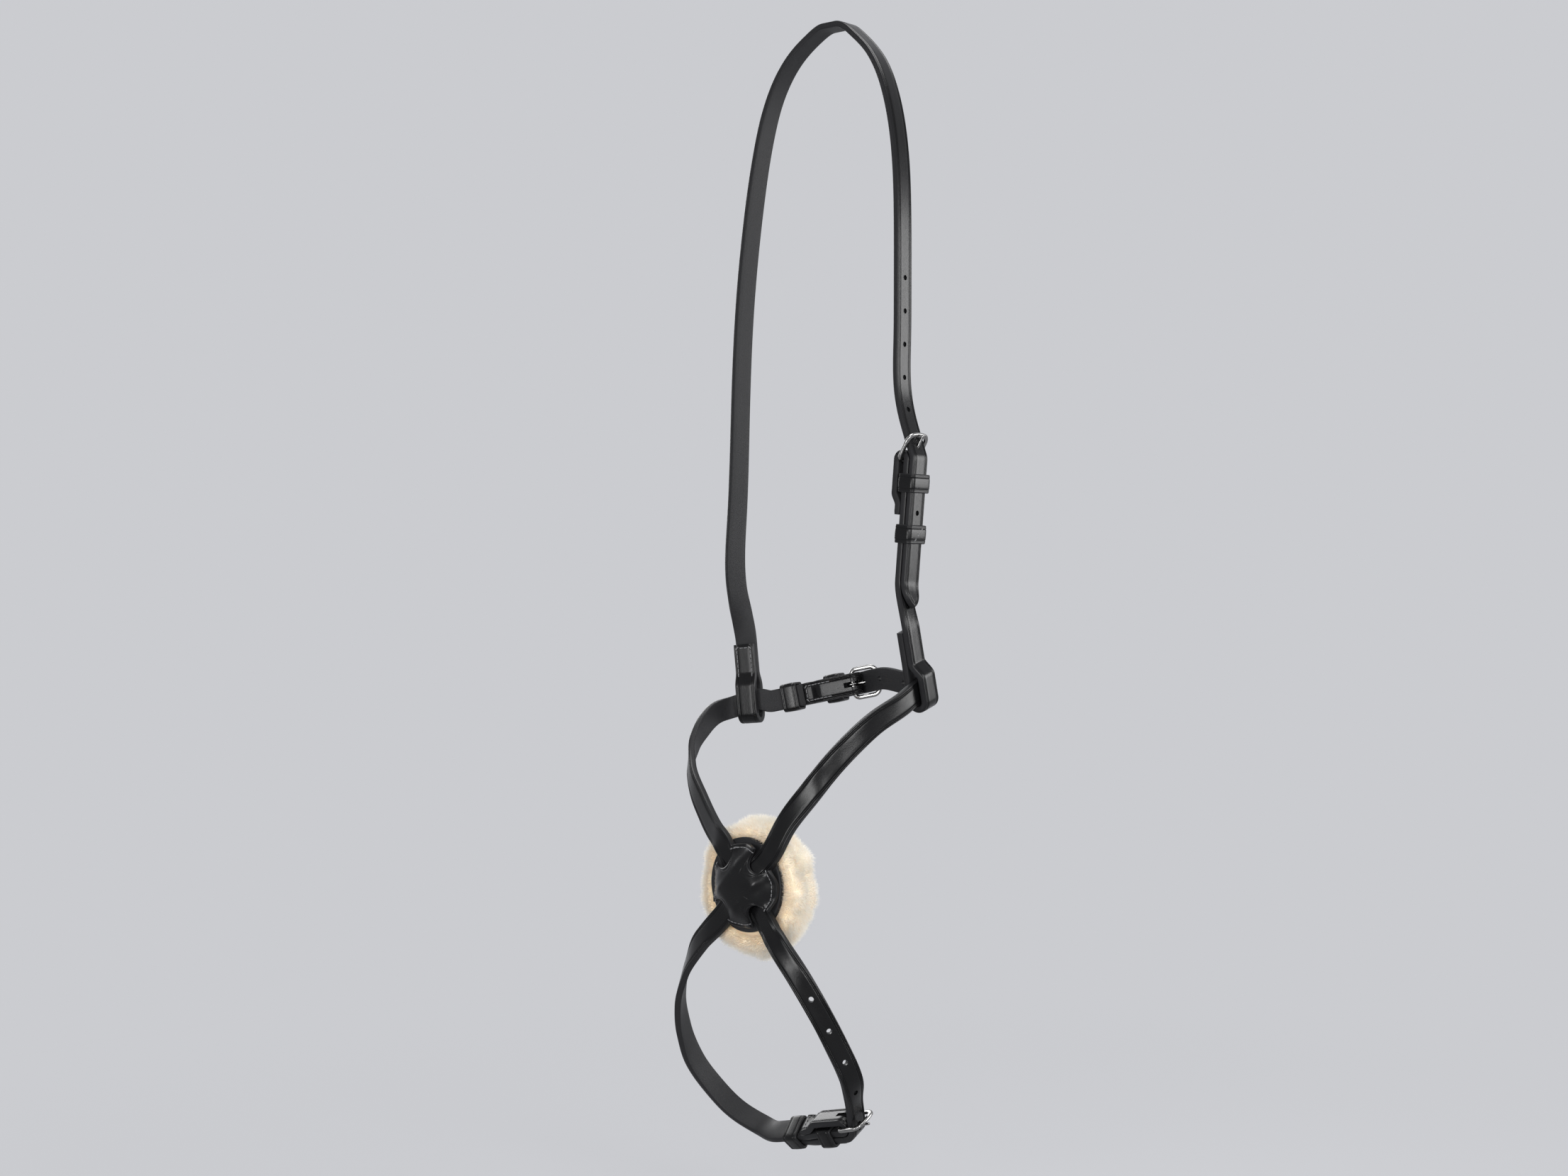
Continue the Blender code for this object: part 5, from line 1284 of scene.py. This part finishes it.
def fleece_tree():
    """Short tapered fibres all over a skin, combed into soft clumps."""
    tree = bpy.data.node_groups.new("fleece", "GeometryNodeTree")
    face = tree.interface
    face.new_socket("Skin", in_out="INPUT", socket_type="NodeSocketGeometry")
    for name, value in (("Spacing", 0.80 * MM), ("Fibre Length", 4.2 * MM), ("Fibre Width", 0.17 * MM),
                        ("Bend", 0.9 * MM), ("Clump Size", 7.0 * MM), ("Comb", 2.0)):
        face.new_socket(name, in_out="INPUT", socket_type="NodeSocketFloat").default_value = value
    face.new_socket("Seed", in_out="INPUT", socket_type="NodeSocketInt").default_value = 11
    face.new_socket("Material", in_out="INPUT", socket_type="NodeSocketMaterial")
    face.new_socket("Fleece", in_out="OUTPUT", socket_type="NodeSocketGeometry")
    nodes = Nodes(tree)
    given = nodes.add("NodeGroupInput").outputs

    def vector(x=0.0, y=0.0, z=0.0):
        return nodes.add("ShaderNodeCombineXYZ", {}, {"X": x, "Y": y, "Z": z}).outputs[0]

    def sum_of(operation, first, second):
        key = "Scale" if operation == "SCALE" else "Vector_001"
        return nodes.add("ShaderNodeVectorMath", {"operation": operation}, {"Vector": first, key: second}).outputs[0]

    length, bend = Number(nodes, given["Fibre Length"]), Number(nodes, given["Bend"])
    hair = nodes.add("GeometryNodeCurveQuadraticBezier", {}, {
        "Resolution": 3, "Start": vector(), "Middle": vector(bend * -0.5, 0.0, length * 0.5),
        "End": vector(bend, 0.0, length)})
    along = Number(nodes, nodes.add("GeometryNodeSplineParameter").outputs["Factor"])
    marked = nodes.add("GeometryNodeStoreNamedAttribute", {"data_type": "FLOAT", "domain": "POINT"}, {
        "Geometry": hair.outputs[0], "Name": "tip", "Value": along})
    ring = nodes.add("GeometryNodeCurvePrimitiveCircle", {}, {
        "Resolution": 3, "Radius": Number(nodes, given["Fibre Width"]) * 0.5})
    fibre = nodes.add("GeometryNodeCurveToMesh", {}, {
        "Curve": marked.outputs[0], "Profile Curve": ring.outputs[0], "Fill Caps": True,
        "Scale": 1.05 - along * along})
    bare = Number(nodes, nodes.add("GeometryNodeInputNamedAttribute", {"data_type": "FLOAT"},
                                   {"Name": "bare"}).outputs[0])
    spread = nodes.add("GeometryNodeDistributePointsOnFaces", {"distribute_method": "POISSON"}, {
        "Mesh": given["Skin"], "Distance Min": given["Spacing"], "Density Max": DENSEST,
        "Density Factor": 1 - bare, "Seed": given["Seed"]})
    swirl = nodes.add("ShaderNodeTexNoise", {}, {"Scale": 1 / Number(nodes, given["Clump Size"]), "Detail": 1.0})
    combed = sum_of("SCALE", sum_of("SUBTRACT", swirl.outputs["Color"], (0.5, 0.5, 0.5)), given["Comb"])
    stray = nodes.add("FunctionNodeRandomValue", {"data_type": "FLOAT_VECTOR"}, {
        "Min": (-STRAY,) * 3, "Max": (STRAY,) * 3, "Seed": given["Seed"]})
    way = sum_of("ADD", sum_of("ADD", spread.outputs["Normal"], combed), stray.outputs[0])
    stood = nodes.add("FunctionNodeAlignRotationToVector", {"axis": "Z"}, {"Vector": way})
    spin = nodes.add("FunctionNodeRandomValue", {"data_type": "FLOAT"}, {
        "Min_001": 0.0, "Max_001": FULL_TURN, "Seed": given["Seed"]})
    turned = nodes.add("FunctionNodeRotateRotation", {"rotation_space": "LOCAL"}, {
        "Rotation": stood.outputs[0],
        "Rotate By": nodes.add("FunctionNodeEulerToRotation", {}, {
            "Euler": vector(0.0, 0.0, spin.outputs[1])}).outputs[0]})
    size = nodes.add("FunctionNodeRandomValue", {"data_type": "FLOAT"}, {
        "Min_001": SHORTEST, "Max_001": LONGEST, "Seed": 5})
    growth = Number(nodes, nodes.add("GeometryNodeInputNamedAttribute", {"data_type": "FLOAT"},
                                     {"Name": "growth"}).outputs[0])
    placed = nodes.add("GeometryNodeInstanceOnPoints", {}, {
        "Points": spread.outputs["Points"], "Instance": fibre.outputs[0], "Rotation": turned.outputs[0],
        "Scale": vector(1.0, 1.0, growth * Number(nodes, size.outputs[1]))})
    real = nodes.add("GeometryNodeRealizeInstances", {}, {"Geometry": placed.outputs[0]})
    dressed = nodes.add("GeometryNodeSetMaterial", {}, {"Geometry": real.outputs[0], "Material": given["Material"]})
    nodes.add("NodeGroupOutput", {}, {"Fleece": dressed.outputs[0]})
    return tree


fleece = fleece_tree()

# %% The fleece on its core
# No fibre grows under the leather. Fibres next to it are short and those behind are clipped.
BARE_WITHIN, SHORT_WITHIN, LENGTHENED_OVER = 0.66, 0.68, 0.15
SHORT_SHARE, CLIPPED_SHARE = 0.55, 0.9
places = coordinates(seed_bed)
reach = wool_reach(places)
behind = (places - np.array(patch.middle[:])) @ np.array(patch.facing[:]) < patch.wool_front - 0.5 * WOOL_DEPTH
note(seed_bed, "bare", np.where((reach < BARE_WITHIN) & ~behind, 1.0, 0.0))
lengthened = ease((reach - SHORT_WITHIN) / LENGTHENED_OVER)
note(seed_bed, "growth", np.where(behind, CLIPPED_SHARE, SHORT_SHARE + (1 - SHORT_SHARE) * lengthened))
for layer, seed in (("one", 11), ("two", 23), ("three", 31), ("four", 47), ("five", 59), ("six", 71)):
    coat = grown("wool_fleece_" + layer, seed_bed.copy(), fleece, {"Material": wool, "Seed": seed})
    print("fleece", layer, len(coat.vertices), "points", len(coat.polygons), "faces")
    piece = bpy.data.objects.new("wool_fleece_" + layer, coat)
    coat.materials.clear()
    coat.materials.append(wool)
    bpy.context.scene.collection.objects.link(piece)
    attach(piece, carrier["sheepskin_wool"])

# %% [markdown]
# ## The studio
#
# The noseband was photographed against a plain pale grey, hung clear of the ground in broad soft
# light. Large area lamps give the straps their long soft highlights, and a pale floor under the
# noseband takes a soft shadow. The background's colour is set for what the camera and reflections
# see, so it doesn't depend on how bright the lamps are.

# %% Background and floor
PALE = (0.597, 0.604, 0.631, 1.0)
PAPER = (0.40, 0.405, 0.425, 1.0)
WORLD_GLOW = 0.22
FLOOR_RADIUS, FLOOR_HEIGHT, FLOOR_SIDES = 9.0, -0.70, 96


def seen(nodes):
    """1 where a ray comes from the camera or from a reflection."""
    rays = nodes.add("ShaderNodeLightPath").outputs
    found = Number(nodes, rays["Is Camera Ray"]) + Number(nodes, rays["Is Glossy Ray"])
    return (found + Number(nodes, rays["Is Transmission Ray"])).clamped()


def studio_world():
    world = bpy.data.worlds.new("studio")
    world.use_nodes = True
    nodes = Nodes(world.node_tree)
    world.node_tree.nodes.clear()
    glow = nodes.add("ShaderNodeBackground", {}, {"Color": (1.0, 1.0, 1.0, 1.0), "Strength": WORLD_GLOW})
    pale = nodes.add("ShaderNodeBackground", {}, {"Color": PALE, "Strength": 1.0})
    mixed = nodes.add("ShaderNodeMixShader", {}, {"Fac": seen(nodes), "Shader": glow.outputs[0],
                                                  "Shader_001": pale.outputs[0]})
    nodes.add("ShaderNodeOutputWorld", {}, {"Surface": mixed.outputs[0]})
    bpy.context.scene.world = world


def studio_floor():
    mesh = bpy.data.meshes.new("floor")
    turns = np.linspace(0, 2 * math.pi, FLOOR_SIDES, endpoint=False)
    rim = [(FLOOR_RADIUS * math.cos(turn), FLOOR_RADIUS * math.sin(turn), FLOOR_HEIGHT) for turn in turns]
    mesh.from_pydata(rim, [], [range(FLOOR_SIDES)])
    floor = bpy.data.objects.new("floor", mesh)
    bpy.context.scene.collection.objects.link(floor)
    material = bpy.data.materials.new("pale_floor")
    material.use_nodes = True
    nodes = Nodes(material.node_tree)
    material.node_tree.nodes.clear()
    place = nodes.add("ShaderNodeTexCoord").outputs["Object"]
    flat = nodes.add("ShaderNodeVectorMath", {"operation": "MULTIPLY"}, {"Vector": place,
                                                                         "Vector_001": (1.0, 1.0, 0.0)})
    far = Number(nodes, nodes.add("ShaderNodeVectorMath", {"operation": "LENGTH"},
                                  {"Vector": flat.outputs[0]}).outputs["Value"])
    paper = nodes.add("ShaderNodeBsdfDiffuse", {}, {"Color": PAPER})
    glow = nodes.add("ShaderNodeEmission", {}, {"Color": PALE, "Strength": 1.0})
    share = seen(nodes) * (0.55 + far.smooth(0.10, 0.80) * 0.45)
    mixed = nodes.add("ShaderNodeMixShader", {}, {"Fac": share, "Shader": paper.outputs[0],
                                                  "Shader_001": glow.outputs[0]})
    nodes.add("ShaderNodeOutputMaterial", {}, {"Surface": mixed.outputs[0]})
    mesh.materials.append(material)


studio_world()
studio_floor()


# %% Lamps
def lamp(name, place, target, size, power):
    data = bpy.data.lights.new(name, "AREA")
    data.shape, data.size, data.energy = "SQUARE", size, power
    item = bpy.data.objects.new(name, data)
    item.location = place
    item.rotation_euler = (Vector(target) - Vector(place)).to_track_quat("-Z", "Y").to_euler()
    bpy.context.scene.collection.objects.link(item)


LIT = Vector((0.0, 0.0, -0.33))
# Each lamp: its way from the noseband's middle, distance as a multiple of it, side and power
LAMPS = {"camera_lamp": ((0.60, -0.80, 0.12), 1.9, 0.50, 13.0),
         "right_lamp": ((0.90, -0.35, 0.15), 1.5, 0.50, 12.0),
         "back_right_lamp": ((0.72, 0.68, 0.12), 1.6, 0.70, 16.0),
         "front_lamp": ((0.05, -0.99, -0.05), 1.6, 0.40, 11.0),
         "top_lamp": ((0.10, -0.05, 1.00), 1.5, 0.80, 24.0),
         "far_lamp": ((-1.50, 0.50, 0.60), 1.0, 1.10, 16.0)}
for name, (way, times, size, power) in LAMPS.items():
    lamp(name, LIT + Vector(way) * times, LIT, size, power)

# %% Camera at the photograph's angle
AZIMUTH, DISTANCE, LENS, SENSOR = math.radians(40), 1.3, 51.1, 36.0
AIMED_AT = Vector((-0.0228, -0.0192, -0.326))
looking = Vector((-math.sin(AZIMUTH), math.cos(AZIMUTH), 0.0))
lens = bpy.data.cameras.new("camera")
lens.lens, lens.sensor_width = LENS, SENSOR
camera = bpy.data.objects.new("camera", lens)
camera.location = AIMED_AT - looking * DISTANCE
camera.rotation_euler = looking.to_track_quat("-Z", "Y").to_euler()
bpy.context.scene.collection.objects.link(camera)
bpy.context.scene.camera = camera
bpy.context.scene.view_settings.view_transform = "Standard"
print("camera", [round(value, 3) for value in camera.location])
